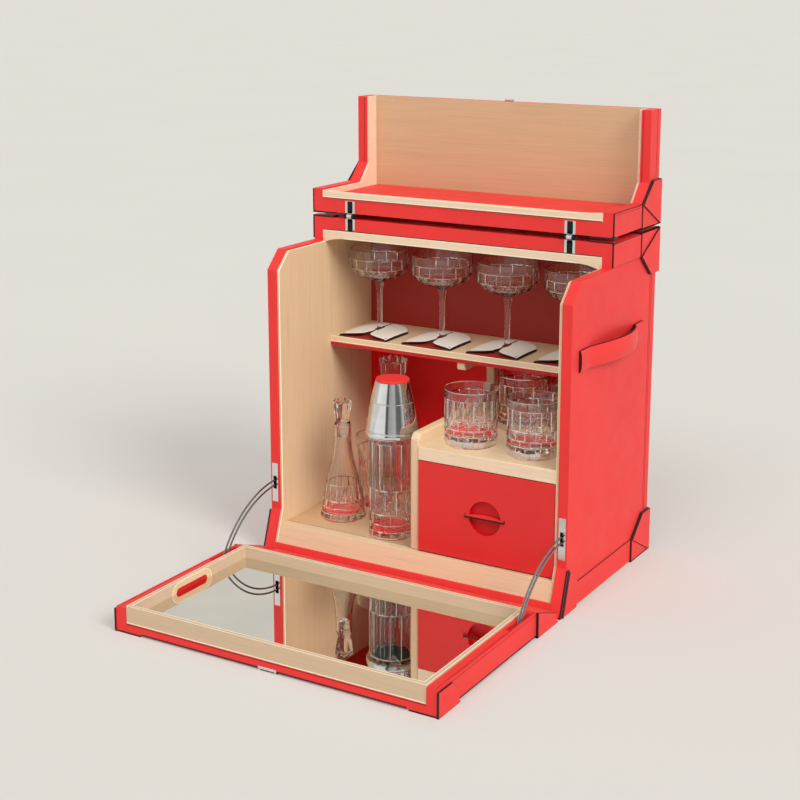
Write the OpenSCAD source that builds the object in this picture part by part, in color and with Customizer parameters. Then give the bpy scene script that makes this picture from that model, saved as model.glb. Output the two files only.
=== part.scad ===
// A cocktail trunk, standing open: a leather covered case with a lid that turns over
// onto its top, a front flap with a serving tray, a shelf of stemmed glasses and a drawer.
// Millimetres. x runs across the front, y towards the back, z up from the floor.
// Lengths along y start at the foot of the body's front edge.

/* [Body] */
// Width over the side walls
body_w = 500; // [496:1:510]
// Height of the body's top face
body_h = 505; // [503:1:510]
// Rear face of the covered shell
shell_rear = 317; // [315:1:322]
// Front edge of the body's top face, where the lid turns
split_y = 151; // [150:1:153]
// Thickness of the covered side walls
wall = 15.4; // [15:0.1:17]
// Thickness of the maple linings and rims
lining = 4.6; // [4:0.1:5]
// Thickness of the back wall
back_t = 28; // [24:1:30]
// Thickness of the panel in front of the back wall
panel_t = 4; // [3:0.5:6]
// Thickness of the top of the case
top_t = 20; // [18:1:22]
// Thickness of the maple board under the top
ceiling_t = 12; // [10:0.5:13]
// Thickness of the bottom of the case
bottom_t = 15.5; // [14:0.5:16]
// Height of the slanted foot of the side walls
kick_h = 67; // [66:0.5:68]
// How far the side walls stand back above that foot
kick_d = 23; // [23:0.5:25]
// Size of the sloped corner at the front top of the side walls
shoulder = 28; // [26:1:30]

/* [Floor and shelf] */
// Height of the floor of the lower bays
floor_z = 46; // [44:0.5:48]
// Thickness of the floor board
floor_t = 12; // [10:0.5:14]
// How far the wood stands back behind the red edges
reveal = 2.5; // [2:0.1:3]
// Front edge of the shelf
shelf_y = 163; // [160:1:164]
// Height of the bay over the shelf
upper_bay_h = 158; // [154:1:164]
// Thickness of the maple shelf
shelf_t = 10; // [8:0.5:10]
// Thickness of the leather under the shelf
shelf_leather_t = 5.5; // [5:0.5:8]

/* [Divider and drawer] */
// Left face of the divider
divider_x = -4; // [-6:0.5:-2]
// Thickness of the divider
divider_t = 14; // [12:0.5:14]
// Height of the bay over the drawer's board
tumbler_bay_h = 93.5; // [92:0.5:98]
// Thickness of that board
cabinet_t = 20; // [18:1:21]
// Height of the divider's rim over that board
rim_h = 18; // [14:1:20]
// Front face of the drawer
drawer_y = 25; // [24.5:0.5:27]
// Thickness of the drawer's front
drawer_front_t = 14; // [12:0.5:16]
// Depth of the drawer's box
drawer_l = 222; // [200:1:226]
// Room between the drawer's box and the board over it
drawer_room = 27; // [20:1:60]
// Thickness of the drawer's sides
drawer_side_t = 8; // [6:0.5:10]
// Diameter of the round recess in the drawer's front
recess_d = 51; // [46:0.5:54]
// Depth of the round recess
recess_depth = 7; // [5:0.5:9]
// Length of the leather pull across the recess
pull_l = 63; // [58:0.5:66]
// How far the pull stands out of the drawer's front
pull_out = 8; // [6:0.5:9]

/* [Lid] */
// Gap between the body and the open lid
lid_gap = 8.8; // [8.4:0.1:10]
// Height of the open lid
lid_h = 167.4; // [166:0.2:168]
// Height of the lid's side walls in front
lip_h = 35.4; // [34:0.2:36]
// Depth of the lid's upright part
lid_t = 37; // [36:0.5:37]
// Thickness of the lid's covered back
lid_back_t = 10; // [8:0.5:12]
// Thickness of the lid's covered base
lid_base_t = 19.2; // [18:0.1:20]
// Height of the maple strip along the lid's front
lid_strip_h = 12; // [10:0.5:13]
// Thickness of the padded face inside the lid
pad_t = 7; // [5:0.5:9]

/* [Flap and tray] */
// Height of the flap's side walls above the floor
flap_side_z = 37; // [35:0.5:37]
// Thickness of the flap's covered plate
flap_plate_t = 11.5; // [10:0.5:12]
// Distance of the flap's hinge end from the body's foot
flap_root = 7.5; // [7:0.1:8]
// Depth of the beveled block behind the tray
flap_block_l = 63; // [61:0.5:64]
// Height of the tray's rim above the floor
tray_z = 39.5; // [38.5:0.1:39.5]
// Thickness of the tray's walls
tray_wall = 7; // [6:0.5:12]
// Height of the mirror's face above the floor
mirror_z = 23; // [20:0.5:26]
// Length of the finger slots in the tray's sides
tray_slot_l = 70; // [60:1:80]

/* [Stays, hinges and latch] */
// Distance of the lid's hinges from the trunk's sides
lid_hinge_in = 65.5; // [60:0.5:90]
// Distance of the flap's hinges from the trunk's sides
flap_hinge_in = 100; // [80:1:140]
// Radius of the curve of a stay
stay_r = 160; // [158:0.5:162]
// Distance between the two rods of a stay
rod_pitch = 8.5; // [8:0.1:9]
// Diameter of a stay's rod
rod_d = 3; // [2.5:0.1:3]
// Where a stay turns on the flap, along y
stay_pin_y = -114; // [-115:0.5:-113]
// Where a stay turns on the flap, along z
stay_pin_z = 20; // [19:0.5:21]
// Height of the stay's slot in the side wall
stay_slot_z = 109; // [108:0.5:110]
// Length of the turning latch
latch_l = 30; // [28:0.5:31]
// Width of the turning latch
latch_w = 8; // [7:0.5:9]
// Thickness of the turning latch
latch_t = 2.2; // [2:0.1:2.2]

/* [Handles and guards] */
// Height of the carry handles' centre line
handle_z = 358.5; // [350:0.5:365]
// Width of the handle strap
handle_w = 31; // [28:0.5:34]
// Front end of a carry handle
handle_y0 = 47; // [45:1:55]
// Rear end of a carry handle
handle_y1 = 269; // [260:1:271]
// How far a handle's strap arches out of the side wall
handle_out = 22; // [20:0.5:24]
// Thickness of the corner guards, which are also the feet
guard_t = 2.5; // [2.2:0.1:2.8]
// Length of a corner guard along an edge
guard_l = 68; // [64:1:70]
// Thickness of the bands between the guards
band_t = 1; // [0.8:0.1:1.5]
// Width of those bands
band_w = 34; // [30:1:38]

/* [Glasses] */
// Gap beside each of the four pockets for the stemmed glasses
pocket_gap = 29.6; // [27:0.1:32]
// Length of a pocket
pocket_l = 90; // [86:1:94]
// Diameter of a stemmed glass's rim
coupe_d = 97; // [94:0.5:98]
// Room between a stemmed glass and the board over it
coupe_room = 21.5; // [10:0.5:26]
// Depth of a stemmed glass's bowl
coupe_bowl = 50.5; // [46:0.5:54]
// Distance of a stemmed glass's stem from the front of its pocket
coupe_in = 52; // [50:0.5:54]
// Room between a tumbler and the shelf
tumbler_room = 11; // [9:0.5:16]
// Diameter of a tumbler
tumbler_d = 80; // [76:0.5:82]
// Height of the highball glass
highball_h = 118; // [112:1:130]
// Diameter of the highball glass's rim
highball_d = 66; // [60:0.5:67]
// Diameter of the small decanter's foot
small_d = 72; // [66:0.5:72]
// Height of the small decanter without its stopper
small_h = 149; // [145:1:155]
// Height of the small decanter's stopper over the neck
small_stopper_h = 39; // [36:0.5:42]
// Diameter of the large decanter
large_d = 68; // [64:0.5:74]
// Room between the large decanter's stopper and the shelf
large_room = 29; // [24:0.5:34]
// Height of the large decanter's stopper over the neck
large_stopper_h = 41; // [38:0.5:44]
// Diameter of the shaker's glass
shaker_d = 75; // [72:0.5:78]
// Room between the shaker and the shelf
shaker_room = 11.5; // [10:0.5:20]
// Diameter of the shaker's metal top at its foot
shaker_top_d = 84; // [82:0.5:86]
// Height of the shaker's metal top
shaker_top_h = 83.5; // [80:0.5:86]

/* [Hidden] */
$fn = 64;

// Clearances, each used by both sides of its fit
slide_gap = 0.3;
pin_gap = 0.05;
shut_gap = 0.3;
end_gap = 1.6;

// Colours
red = "#e8443f";
deep_red = "#c8302f";
maple = "#dfb688";
dark = "#2c1b1b";
chrome = "#d5d8da";
glass = [0.9, 0.93, 0.95, 0.35];
cream = "#efe9de";

half_w = body_w / 2;
stay_x = half_w - wall / 2;
inner_x = half_w - wall;
bay_x = inner_x - lining;
shell_z = guard_t;
bottom_z = shell_z + bottom_t;
back_y = shell_rear - back_t;
bay_y = back_y - panel_t;
top_z = body_h - top_t;
ceiling_z = top_z - ceiling_t;
shelf_z = ceiling_z - upper_bay_h;
shelf_low = shelf_z - shelf_t - shelf_leather_t;
cabinet_z = shelf_low - tumbler_bay_h;
rim_z = cabinet_z + rim_h;

// The slanted foot runs from the floor's front edge up to the side walls
function kick_y(z) = kick_d * z / kick_h;

// The lid turns half round about this line
lid_axis_y = split_y - shut_gap / 2;
lid_axis_z = body_h + lid_gap / 2;
lid_z = body_h + lid_gap;
lip_z = lid_z + lip_h;
lid_top = lid_z + lid_h;
lid_front = shell_rear - lid_t;
shoulder_z = 2 * lid_axis_z - lip_z - shut_gap;
lid_base_z = lid_z + lid_base_t;
lid_strip_z = lid_base_z + lid_strip_h;
pad_z = lid_base_z + pad_t;
lid_panel_y = shell_rear - lid_back_t - panel_t;

// The flap turns a quarter round about this line, and closes in one plane with the lid
flap_sum = -5;
flap_shift = 2 * lid_axis_y - shell_rear - shell_z;
flap_axis_y = (flap_sum + flap_shift) / 2;
flap_axis_z = (flap_sum - flap_shift) / 2;
flap_end = flap_sum - (2 * lid_axis_z - lid_top) + end_gap;
plate_z = shell_z + flap_plate_t;
block_y = -flap_root - flap_block_l;
block_low_z = flap_axis_z + 8.5;
end_guard_t = 1.2;
edge_step = 0.5;

// A stay is an arc from its pin on the flap to its slot in the side wall
slot_y = kick_d + 1;
stay_chord = norm([slot_y - stay_pin_y, stay_slot_z - stay_pin_z]);
stay_chord_angle = atan2(stay_slot_z - stay_pin_z, slot_y - stay_pin_y);
stay_half = asin(stay_chord / 2 / stay_r);
stay_start = 90 + stay_chord_angle + stay_half;
stay_cy = stay_pin_y - stay_r * cos(stay_start);
stay_cz = stay_pin_z - stay_r * sin(stay_start);
stay_sweep = 2 * stay_half + 1.6;
stay_w = 6;
slot_h = 20.6;
lug_r = 6;
stop_h = 23;
plate_w = 10.7;
plate_h = 61.5;
cavity_l = 138;

// Hinges
lid_hinge_x = half_w - lid_hinge_in;
lid_hinge_w = 17;
lid_leaf_h = 19;
hinge_leaf_t = 3;
knuckle_r = 4;
pin_r = 1.5;
flap_hinge_x = half_w - flap_hinge_in;
flap_hinge_w = 50;
flap_leaf_t = 2.4;
flap_leaf_l = 30;
moving_leaf_l = 29.5;
moving_leaf_in = 11;
moving_knuckle_w = 16;
moving_leaf_y = -flap_root - moving_leaf_in - moving_leaf_l;

// Latch and its keeper on the lid
latch_y = flap_end + 5;
latch_pin_r = 2;
keeper_w = 15;
keeper_low = 2.6;
keeper_out = 4;
patch_w = 29;
patch_t = 1.2;
keeper_foot_z = 2 * lid_axis_z - (flap_sum - latch_y) - latch_l / 2 - 2.5;

// Pockets, and glassware places on the floor, on the cabinet and on the shelf
coupe_pitch = bay_x / 2 - 1.8;
coupe_shift = -2;
pocket_w = coupe_pitch - pocket_gap;
pocket_front = shelf_y + 2;
pocket_base_t = 1;
petal_t = 1.3;
petal_rise = 4.2;
petal_tip_l = 34;
petal_rear_l = 28;
petal_in = 5;
coupe_z = shelf_z + pocket_base_t;
coupe_y = pocket_front + coupe_in;
coupe_h = ceiling_z - coupe_z - coupe_room;
cabinet_x = divider_x + divider_t;
cabinet_w = bay_x - cabinet_x;
tumbler_r = tumbler_d / 2;
tumbler_h = shelf_low - cabinet_z - tumbler_room;
tumbler_rear_x = bay_x - tumbler_r - 7;
tumbler_at = [[cabinet_x + cabinet_w * 0.253, 83], [cabinet_x + cabinet_w * 0.715, 83],
    [tumbler_rear_x - tumbler_d - 8, 195], [tumbler_rear_x, 195]];
highball_at = [84 - bay_x, 164];
small_at = [63 - bay_x, 98];
large_at = [70 - bay_x, 238];
shaker_at = [divider_x - 57.5, 73];
vessel_wall = 2.5;
neck_d = 26;
stopper_gap = 0.3;
large_h = shelf_low - floor_z - large_stopper_h - large_room;
shaker_h = shelf_low - floor_z - shaker_top_h - 3.2 - shaker_room;

// The frame's origin is the middle of the footprint
front_y = flap_end - end_guard_t;
rear_y = shell_rear + keeper_out;
module place() {
    translate([0, -(front_y + rear_y) / 2, 0]) children();
}

// A block between two corners
module block(lo, hi) {
    translate(lo) cube(hi - lo);
}

// The same piece on the left and on the right
module both() {
    children();
    mirror([1, 0, 0]) children();
}

// An outline in y and z, given its width along x
module across(x0, x1) {
    translate([x0, 0, 0]) rotate([90, 0, 90]) linear_extrude(x1 - x0) children();
}

// A rod along x
module rod_x(x0, x1, y, z, r) {
    translate([x0, y, z]) rotate([0, 90, 0]) cylinder(h = x1 - x0, r = r);
}

// A turned piece that stands at a place
module turned(at, z) {
    translate([at[0], at[1], z]) rotate_extrude() children();
}

function body_outline() = [[kick_y(shell_z), shell_z], [kick_d, kick_h],
    [kick_d, shoulder_z - shoulder], [kick_d + shoulder, shoulder_z], [split_y, shoulder_z],
    [split_y, body_h], [shell_rear, body_h], [shell_rear, shell_z]];

function lid_slope() = lip_h * 0.76;

function lid_outline() = [[split_y, lid_z], [shell_rear, lid_z], [shell_rear, lid_top],
    [lid_front, lid_top], [lid_front, lip_z + lid_slope()],
    [lid_front - lid_slope() * 0.87, lip_z], [split_y, lip_z]];

module stay_cavity() {
    block([stay_x - stay_w / 2, slot_y + 1, shell_z + 2.5],
        [stay_x + stay_w / 2, slot_y + cavity_l, stay_slot_z + 13]);
    block([stay_x - stay_w / 2, 0, stay_slot_z - slot_h / 2],
        [stay_x + stay_w / 2, slot_y + 2, stay_slot_z + slot_h / 2]);
    block([stay_x - plate_w / 2, kick_d - 1, stay_slot_z - plate_h / 2],
        [stay_x + plate_w / 2, slot_y + 1, stay_slot_z + plate_h / 2]);
}

module body_shell() {
    color(red) difference() {
        union() {
            both() difference() {
                across(inner_x, half_w) polygon(body_outline());
                stay_cavity();
            }
            block([-inner_x, back_y, bottom_z], [inner_x, shell_rear, top_z]);
            block([-inner_x, split_y, top_z], [inner_x, shell_rear, body_h]);
            across(-inner_x, inner_x) polygon([[kick_y(shell_z) + edge_step, shell_z],
                [kick_y(bottom_z) + edge_step, bottom_z], [shell_rear, bottom_z],
                [shell_rear, shell_z]]);
        }
        both() lid_leaf_space(top_z, body_h);
        both() flap_leaf_space();
    }
}

module lid_leaf_space(z0, z1) {
    block([lid_hinge_x - lid_hinge_w / 2, split_y - 1, z0 - 1],
        [lid_hinge_x + lid_hinge_w / 2, split_y + hinge_leaf_t, z1 + 1]);
}

module flap_leaf_space() {
    block([flap_hinge_x - flap_hinge_w / 2, -1, shell_z - 1],
        [flap_hinge_x + flap_hinge_w / 2, flap_leaf_l, shell_z + flap_leaf_t]);
}

module side_lining() {
    color(maple) across(bay_x, inner_x) polygon([
        [kick_y(bottom_z) + reveal, bottom_z],
        [kick_d + reveal, kick_h],
        [kick_d + reveal, shoulder_z - shoulder - 1],
        [kick_d + shoulder + 1, shoulder_z - reveal],
        [split_y, shoulder_z - reveal],
        [split_y, ceiling_z], [back_y, ceiling_z], [back_y, bottom_z]]);
}

module side_lining_left() {
    mirror([1, 0, 0]) side_lining();
}

module side_lining_right() {
    side_lining();
}

module back_panel() {
    color(deep_red) block([-bay_x, bay_y, bottom_z], [bay_x, back_y, ceiling_z]);
}

// A strip whose ends deepen in a long curve, drawn upwards from z = 0
module haunched(half, h, deep, l) {
    difference() {
        translate([-half, 0]) square([2 * half, h + deep]);
        translate([-half + l, h]) square([2 * (half - l), deep + 1]);
        for (s = [-1, 1]) translate([s * (half - l), h + l * l / deep / 2 + deep / 2])
            circle(r = l * l / deep / 2 + deep / 2, $fn = 360);
    }
}

module ceiling() {
    color(maple) {
        block([-inner_x, split_y, ceiling_z], [inner_x, back_y, top_z]);
        translate([0, split_y + 10, ceiling_z + 1]) rotate([90, 0, 0]) mirror([0, 1, 0])
            linear_extrude(10) haunched(bay_x, 1, 6, 34);
    }
}

// Depth of the strip in front of the floor board
nosing = 26;
bearer_w = 30;
bearer_side = 80;

module floor_board() {
    front = kick_y(bottom_z) + reveal + nosing;
    color(maple) block([-bay_x, front, floor_z - floor_t], [bay_x, bay_y, floor_z]);
}

module floor_front() {
    front = kick_y(bottom_z) + reveal;
    color(maple) across(-bay_x, bay_x) polygon([[front, bottom_z],
        [kick_y(floor_z) + reveal, floor_z], [front + nosing, floor_z],
        [front + nosing, bottom_z]]);
}

module floor_bearers() {
    color(maple) for (x = [bearer_side - bay_x, 0, bay_x - bearer_side])
        block([x - bearer_w / 2, kick_d + 22, bottom_z],
            [x + bearer_w / 2, bay_y - 5, floor_z - floor_t]);
}

module shelf() {
    color(maple) block([-bay_x, shelf_y, shelf_z - shelf_t], [bay_x, bay_y, shelf_z]);
}

module shelf_leather() {
    color(deep_red) block([-bay_x, shelf_y, shelf_low], [bay_x, bay_y, shelf_z - shelf_t]);
}

function coupe_x(i) = (i - 1.5) * coupe_pitch + coupe_shift;

// Points on a quarter of an ellipse round a centre, from one angle to the next
function arc_points(cx, cy, rx, ry, a0, a1, n) = [for (i = [0:n])
    [cx + rx * cos(a0 + (a1 - a0) * i / n), cy + ry * sin(a0 + (a1 - a0) * i / n)]];

// A pocket's floor is square in front and round behind
module pocket_plan() {
    half = pocket_w / 2;
    rear = pocket_l - petal_rear_l;
    polygon(concat([[-half, 0], [half, 0]],
        arc_points(petal_in, rear, half - petal_in, petal_rear_l, 0, 90, 8),
        arc_points(-petal_in, rear, half - petal_in, petal_rear_l, 90, 180, 8)));
}

module coupe_pockets() {
    color(deep_red) for (i = [0:3]) translate([coupe_x(i), pocket_front, shelf_z])
        linear_extrude(pocket_base_t) pocket_plan();
}

// The right petal in plan, with a round tip towards the stem
module petal_plan() {
    half = pocket_w / 2;
    rear = pocket_l - petal_rear_l;
    polygon(concat(
        arc_points(petal_in, rear, half - petal_in, petal_rear_l, 0, 90, 8),
        arc_points(half, petal_tip_l, half - petal_in, petal_tip_l, 180, 270, 8)));
}

// A petal bows up from the pocket's side towards the stem
module petal_arch() {
    run = pocket_w / 2 - petal_in;
    low = pocket_base_t + 0.01;
    r = (run * run + petal_rise * petal_rise) / 2 / petal_rise;
    intersection() {
        translate([petal_in - 1, low]) square([run + 1, petal_rise + petal_t + 1]);
        translate([petal_in, low + petal_rise - r]) difference() {
            circle(r = r + petal_t, $fn = 360);
            circle(r = r, $fn = 360);
        }
    }
}

module pocket_petals() {
    color(cream) for (i = [0:3]) translate([coupe_x(i), pocket_front, shelf_z]) both()
        intersection() {
            linear_extrude(pocket_base_t + petal_rise + petal_t + 1) petal_plan();
            translate([0, pocket_l + 1, 0]) rotate([90, 0, 0]) linear_extrude(pocket_l + 2)
                petal_arch();
        }
}

// The divider is a C that is open to the front
module divider_outline() {
    top = shelf_low;
    column_y = bay_y - 23;
    arm_y = shelf_y + 2;
    difference() {
        polygon([[kick_d + 4, floor_z], [bay_y, floor_z], [bay_y, top], [arm_y, top],
            [arm_y, top - 12], [column_y, top - 12], [column_y, rim_z],
            [kick_d + 12, rim_z], [kick_d + 4, rim_z - 8]]);
    }
    difference() {
        translate([column_y - 24, top - 36]) square([24.5, 24.5]);
        translate([column_y - 24, top - 36]) circle(r = 24);
    }
    difference() {
        translate([column_y - 24, rim_z - 0.5]) square([24.5, 24.5]);
        translate([column_y - 24, rim_z + 24]) circle(r = 24);
    }
}

module divider() {
    color(maple) across(divider_x, divider_x + divider_t) divider_outline();
}

module cabinet_top() {
    color(maple) block([cabinet_x, kick_d + reveal, cabinet_z - cabinet_t],
        [bay_x, bay_y, cabinet_z]);
}

// One face of a corner guard, from the corner at the origin
module guard_face(l, t) {
    linear_extrude(t) polygon([[0, 0], [l, 0], [l, l * 0.53], [l * 0.45, l], [0, l]]);
}

// Three faces of a guard round a corner at the origin, which fill its own thickness
module corner_guard(l, t) {
    guard_face(l, t);
    rotate([90, 0, 90]) guard_face(l, t);
    mirror([0, 1, 0]) rotate([90, 0, 0]) guard_face(l, t);
}

// A small guard at the front end of a rim, from the corner at the origin
module rim_guard(t) {
    block([0, 0, 0], [38, 15, t]);
    block([0, 0, 0], [t, 15, 24]);
}

module body_guards() {
    low = kick_y(shell_z);
    color(red) both() difference() {
        union() {
            translate([half_w + guard_t, shell_rear + guard_t, 0]) rotate([0, 0, 180])
                corner_guard(guard_l, guard_t);
            translate([half_w + guard_t, shell_rear + guard_t, body_h + guard_t])
                rotate([0, 180, 0]) mirror([0, 1, 0]) corner_guard(guard_l, guard_t);
            translate([half_w + guard_t, split_y, body_h + guard_t]) rotate([0, 180, 0])
                rim_guard(guard_t);
            across(half_w, half_w + guard_t) polygon([[low, 0], [kick_y(63.6), 63.6],
                [29.5, 63.6], [55, 42], [55, 0]]);
            translate([half_w + guard_t, low, 0]) mirror([1, 0, 0])
                linear_extrude(guard_t) polygon([[0, 0], [40, 0], [62, 22], [62, 55 - low],
                    [0, 55 - low]]);
        }
    }
}

module body_bands() {
    side_y = shell_rear + guard_t - guard_l;
    color(red) {
        both() {
            block([half_w, split_y + 15, body_h - band_w], [half_w + band_t, side_y, body_h]);
            block([half_w, 55, shell_z], [half_w + band_t, side_y, shell_z + band_w]);
        }
        side_x = half_w + guard_t - guard_l;
        block([-side_x, shell_rear, body_h - band_w], [side_x, shell_rear + band_t, body_h]);
        block([-side_x, shell_rear, shell_z], [side_x, shell_rear + band_t, shell_z + band_w]);
    }
}

// A strap in plan: flat ends on the wall and a bow between them
module handle_plan() {
    end = 14;
    strap = 4;
    half = (handle_y1 - handle_y0) / 2 - end;
    rise = handle_out - strap;
    r = (half * half + rise * rise) / 2 / rise;
    for (s = [-1, 1]) translate([0, s * (half + end / 2)])
        translate([0, -end / 2 - 1]) square([strap, end + 2]);
    intersection() {
        translate([0, -half - 2]) square([handle_out, 2 * half + 4]);
        difference() {
            translate([rise - r, 0]) circle(r = r + strap, $fn = 360);
            translate([rise - r, 0]) circle(r = r, $fn = 360);
        }
    }
}

module carry_handles() {
    color(red) both()
        translate([half_w, (handle_y0 + handle_y1) / 2, handle_z - handle_w / 2])
            linear_extrude(handle_w) handle_plan();
}

module stay_plates() {
    color(chrome) both() difference() {
        block([stay_x - plate_w / 2, kick_d - 0.6, stay_slot_z - plate_h / 2],
            [stay_x + plate_w / 2, slot_y + 1, stay_slot_z + plate_h / 2]);
        block([stay_x - stay_w / 2, 0, stay_slot_z - slot_h / 2],
            [stay_x + stay_w / 2, slot_y + 2, stay_slot_z + slot_h / 2]);
    }
}

// One leaf of a lid hinge with its knuckles, below the hinge's line
module lid_leaf(knuckles) {
    w = lid_hinge_w / 2;
    drop = lid_gap / 2;
    difference() {
        union() {
            block([lid_hinge_x - w, split_y, lid_axis_z - drop - lid_leaf_h],
                [lid_hinge_x + w, split_y + hinge_leaf_t, lid_axis_z - drop]);
            for (k = knuckles) {
                rod_x(lid_hinge_x + k[0], lid_hinge_x + k[1], lid_axis_y, lid_axis_z, knuckle_r);
                block([lid_hinge_x + k[0], split_y, lid_axis_z - drop - 1],
                    [lid_hinge_x + k[1], split_y + hinge_leaf_t, lid_axis_z]);
            }
        }
        rod_x(lid_hinge_x - w - 1, lid_hinge_x + w + 1, lid_axis_y, lid_axis_z,
            len(knuckles) == 1 ? pin_r + pin_gap : pin_r);
        block([lid_hinge_x - 4.5, split_y - 1, lid_axis_z - drop - lid_leaf_h + 3],
            [lid_hinge_x + 4.5, split_y + 1.6, lid_axis_z - drop - 3]);
    }
}

module lid_hinge_lower() {
    w = lid_hinge_w / 2;
    color(chrome) both() lid_leaf([[-w, -4.5], [4.5, w]]);
}

module lid_hinge_upper() {
    color(chrome) both() translate([0, 0, 2 * lid_axis_z]) mirror([0, 0, 1])
        lid_leaf([[-4.3, 4.3]]);
}

module lid_hinge_pins() {
    w = lid_hinge_w / 2;
    color(chrome) both()
        rod_x(lid_hinge_x - w, lid_hinge_x + w, lid_axis_y, lid_axis_z, pin_r);
}

module flap_hinge_fixed() {
    w = flap_hinge_w / 2;
    gap = moving_knuckle_w / 2 + 0.2;
    color(chrome) both() difference() {
        union() {
            block([flap_hinge_x - w, 1, shell_z],
                [flap_hinge_x + w, flap_leaf_l, shell_z + flap_leaf_t]);
            for (k = [[-w, -gap], [gap, w]]) {
                rod_x(flap_hinge_x + k[0], flap_hinge_x + k[1], flap_axis_y, flap_axis_z,
                    flap_axis_z - shell_z);
                block([flap_hinge_x + k[0], flap_axis_y, shell_z],
                    [flap_hinge_x + k[1], 2, shell_z + flap_leaf_t]);
            }
        }
        rod_x(flap_hinge_x - w - 1, flap_hinge_x + w + 1, flap_axis_y, flap_axis_z, pin_r);
    }
}

module flap_hinge_pins() {
    w = flap_hinge_w / 2;
    color(chrome) both()
        rod_x(flap_hinge_x - w, flap_hinge_x + w, flap_axis_y, flap_axis_z, pin_r);
}

module flap_hinge_moving() {
    w = flap_hinge_w / 2;
    m = moving_knuckle_w / 2;
    color(chrome) both() difference() {
        union() {
            block([flap_hinge_x - w, moving_leaf_y, shell_z],
                [flap_hinge_x + w, -flap_root - moving_leaf_in, shell_z + flap_leaf_t]);
            block([flap_hinge_x - m, -flap_root - moving_leaf_in - 1, shell_z],
                [flap_hinge_x + m, flap_axis_y, shell_z + flap_leaf_t]);
            rod_x(flap_hinge_x - m, flap_hinge_x + m, flap_axis_y, flap_axis_z,
                flap_axis_z - shell_z);
        }
        rod_x(flap_hinge_x - m - 1, flap_hinge_x + m + 1, flap_axis_y, flap_axis_z,
            pin_r + pin_gap);
    }
}

module lid_shell() {
    color(red) difference() {
        union() {
            both() across(inner_x, half_w) polygon(lid_outline());
            block([-inner_x, split_y, lid_z], [inner_x, shell_rear, lid_base_z]);
            block([-inner_x, shell_rear - lid_back_t, lid_z], [inner_x, shell_rear, lid_top]);
        }
        both() lid_leaf_space(lid_z, lid_z + lid_leaf_h - 1);
    }
}

module lid_rim() {
    slope = lid_slope();
    top = lip_z - reveal;
    y0 = shell_rear - lid_back_t;
    color(maple) {
        translate([0, split_y + 10, lid_base_z]) rotate([90, 0, 0])
            linear_extrude(10) haunched(bay_x, lid_strip_h, top - lid_strip_z, 34);
        both() across(bay_x, inner_x) polygon([[split_y, lid_base_z], [y0, lid_base_z],
            [y0, lid_top], [lid_front + reveal, lid_top],
            [lid_front + reveal, lip_z + slope - reveal / 2],
            [lid_front - slope * 0.87 + reveal, top], [split_y, top]]);
    }
}

module lid_back_panel() {
    color(maple) block([-bay_x, lid_panel_y, lid_base_z],
        [bay_x, shell_rear - lid_back_t, lid_top]);
}

module lid_pad() {
    cut = 16;
    color(red) translate([0, 0, lid_base_z]) linear_extrude(pad_t) polygon([
        [-bay_x + cut, split_y + 10], [bay_x - cut, split_y + 10], [bay_x, split_y + 10 + cut],
        [bay_x, lid_panel_y], [-bay_x, lid_panel_y], [-bay_x, split_y + 10 + cut]]);
}

module lid_guards() {
    side_y = shell_rear + guard_t - guard_l;
    color(red) both() {
        translate([half_w + guard_t, shell_rear + guard_t, lid_z - guard_t])
            rotate([0, 0, 180]) corner_guard(guard_l, guard_t);
        translate([half_w + guard_t, split_y, lid_z - guard_t]) mirror([1, 0, 0])
            rim_guard(guard_t);
        block([half_w, split_y + 15, lid_z], [half_w + band_t, side_y, lid_z + band_w]);
    }
}

module keeper_patch() {
    color(red) block([-patch_w / 2, shell_rear, keeper_foot_z - 20],
        [patch_w / 2, shell_rear + patch_t, keeper_foot_z]);
}

// A foot on the patch and a lip that reaches past the lid's end over the latch
module lid_keeper() {
    y0 = shell_rear + patch_t;
    lip = 2 * lid_axis_z - (flap_sum - flap_end) + 2;
    color(chrome) {
        block([-keeper_w / 2, y0, keeper_foot_z - 11],
            [keeper_w / 2, shell_rear + keeper_out, keeper_foot_z]);
        block([-keeper_w / 2, shell_rear + keeper_low, keeper_foot_z - 1],
            [keeper_w / 2, shell_rear + keeper_out, lip]);
    }
}

module stay_pocket() {
    block([stay_x - stay_w / 2, stay_pin_y - 28, stay_pin_z - 8],
        [stay_x + stay_w / 2, stay_pin_y + 35, flap_side_z + 1]);
}

module flap_shell() {
    color(red) difference() {
        union() {
            block([-half_w, flap_end, shell_z], [half_w, -flap_root, plate_z]);
            both() across(inner_x, half_w) polygon([[flap_end, shell_z],
                [flap_end, flap_side_z], [block_y, flap_side_z], [block_y, shell_z]]);
            across(-half_w, half_w) polygon([[block_y, shell_z], [block_y, flap_side_z],
                [-flap_root, block_low_z], [-flap_root, shell_z]]);
        }
        both() {
            stay_pocket();
            rod_x(stay_x - 6, stay_x + 6, stay_pin_y, stay_pin_z, 2);
            block([flap_hinge_x - flap_hinge_w / 2 - 1, -flap_root - 10, shell_z - 1],
                [flap_hinge_x + flap_hinge_w / 2 + 1, 0, flap_side_z]);
            block([flap_hinge_x - flap_hinge_w / 2, moving_leaf_y, shell_z - 1],
                [flap_hinge_x + flap_hinge_w / 2, -flap_root - 9, shell_z + flap_leaf_t]);
        }
        translate([0, latch_y, shell_z - 1]) cylinder(h = 9, r = latch_pin_r + pin_gap);
    }
}

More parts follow.
